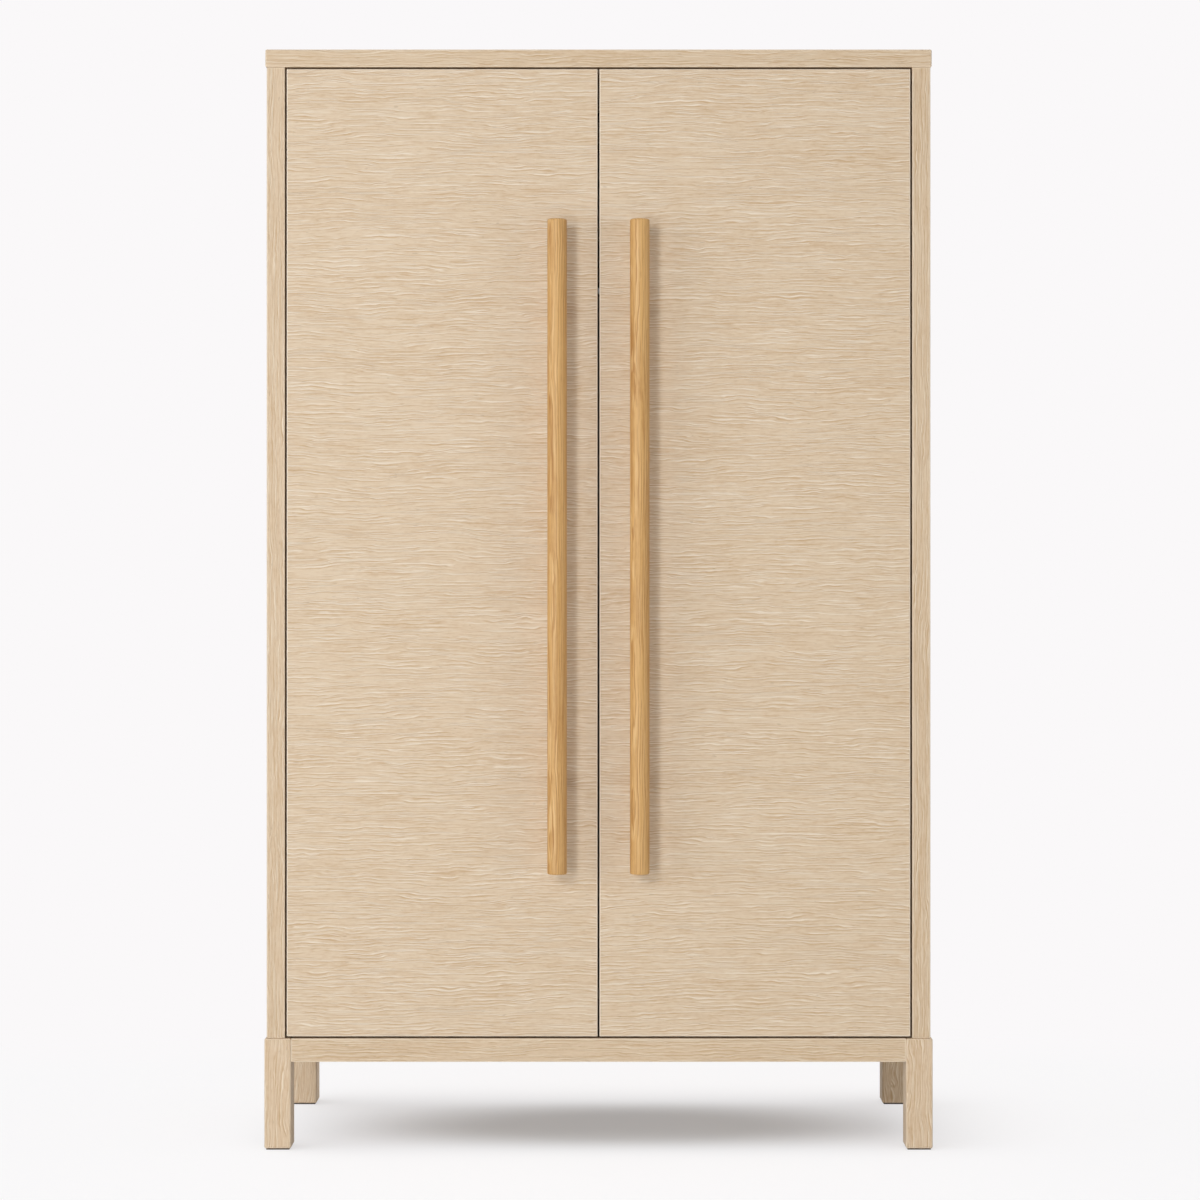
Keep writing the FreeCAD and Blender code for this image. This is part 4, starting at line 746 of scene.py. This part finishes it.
def make_world():
    """Soft light from all around, stronger from above, and a plain pale background where it is seen."""
    tree = Tree(bpy.data.worlds.new("studio"))
    bpy.context.scene.world = tree.owner
    height = tree.place("Generated")["Z"]
    light = tree.nodes["Background"]
    light.inputs["Color"].default_value = SKY_COLOUR
    strength = tree.step(height, 0.0, SKY_TOP, HORIZON_LIGHT, ZENITH_LIGHT)
    tree.feed(light.inputs["Strength"], strength)
    shown = tree.add("ShaderNodeBackground", BACKDROP)
    both = tree.add("ShaderNodeMixShader", seen_rays(tree), light.outputs[0], shown.outputs[0])
    tree.feed(tree.nodes["World Output"].inputs["Surface"], both.outputs[0])


def floor_melt(tree):
    """How far the floor has melted into the backdrop, by its distance from the middle of the base; near
    the base this is painted light over part of the cast shadow.
    """
    place = tree.place()
    x = tree.maths("SUBTRACT", place["X"], FLOOR_SHIFT)
    y = tree.maths("MULTIPLY", place["Y"], FLOOR_OVAL)
    oval = tree.add("ShaderNodeVectorMath", tree.combine(x, y, 0.0))
    oval.operation = "LENGTH"
    distance = oval.outputs["Value"]
    # Painted light over the cast shadow's ends
    painted_shadow_fade = tree.step(distance, *PAINTED_SHADOW_FADE, 0.0, PAINTED_SHADOW_FADE_SHARE)
    far_off = tree.step(distance, *FAR_MELT)
    return tree.maths("MAXIMUM", painted_shadow_fade, far_off)


def floor_material():
    """A matt pale floor that keeps the cast shadow under the wardrobe, pales its ends with painted
    light, and melts away further off.
    """
    tree = Tree(bpy.data.materials.new("floor"))
    tree.shader.inputs["Base Color"].default_value = FLOOR_SHADE
    tree.shader.inputs["Roughness"].default_value = FLOOR_ROUGHNESS
    tree.shader.inputs["Specular IOR Level"].default_value = 0.0
    seen = seen_rays(tree)
    lift = tree.add("ShaderNodeEmission", BACKDROP, tree.maths("MULTIPLY", seen, FLOOR_LIFT))
    near = tree.add("ShaderNodeAddShader", tree.shader.outputs[0], lift.outputs[0])
    far = tree.add("ShaderNodeEmission", BACKDROP)
    melted = tree.maths("MULTIPLY", floor_melt(tree), seen)
    both = tree.add("ShaderNodeMixShader", melted, near.outputs[0], far.outputs[0])
    tree.feed(tree.nodes["Material Output"].inputs["Surface"], both.outputs[0])
    return tree.owner


def make_floor():
    """Add a wide flat floor under the wardrobe."""
    signs = ((-1, -1), (1, -1), (1, 1), (-1, 1))
    corners = [(a * FLOOR_REACH, b * FLOOR_REACH, 0) for a, b in signs]
    mesh = bpy.data.meshes.new("floor")
    mesh.from_pydata(corners, [], [(0, 1, 2, 3)])
    mesh.materials.append(floor_material())
    floor = bpy.data.objects.new("floor", mesh)
    bpy.context.scene.collection.objects.link(floor)
    floor.location.z = -FLOOR_DROP
    return floor


def make_lamp(name, kind, place, target, energy, floor, floor_link):
    """Add a lamp that points at a target, and lights the floor alone or everything but the floor."""
    lamp = bpy.data.objects.new(name, bpy.data.lights.new(name, kind))
    lamp.location = place
    aim = Vector(target) - Vector(place)
    lamp.rotation_euler = aim.to_track_quat("-Z", "Y").to_euler()
    lamp.data.energy = energy
    bpy.context.scene.collection.objects.link(lamp)
    lit = bpy.data.collections.new(f"lit_by_{name}")
    lit.objects.link(floor)
    lit.collection_objects[0].light_linking.link_state = floor_link
    lamp.light_linking.receiver_collection = lit
    return lamp


def make_lamps(floor):
    """Add soft lamps for the wardrobe, with the key at the upper left, and a sun for the floor."""
    for name, soft in LAMPS.items():
        lamp = make_lamp(name, "AREA", soft.place, soft.target, soft.power, floor, "EXCLUDE")
        lamp.data.shape = "RECTANGLE"
        lamp.data.size, lamp.data.size_y = soft.size
        lamp.data.color = soft.colour
        lamp.visible_glossy = soft.in_gloss
    above = make_lamp("above", "SUN", SUN_PLACE, SUN_TARGET, SUN_STRENGTH, floor, "INCLUDE")
    above.data.angle = math.radians(SUN_ANGLE)
    base = bpy.data.collections.new("base_shadow")
    for name in SHADING_NODES:
        base.objects.link(nodes[name])
    above.light_linking.blocker_collection = base


make_camera()
make_world()
make_lamps(make_floor())
bpy.context.scene.view_settings.view_transform = "Standard"
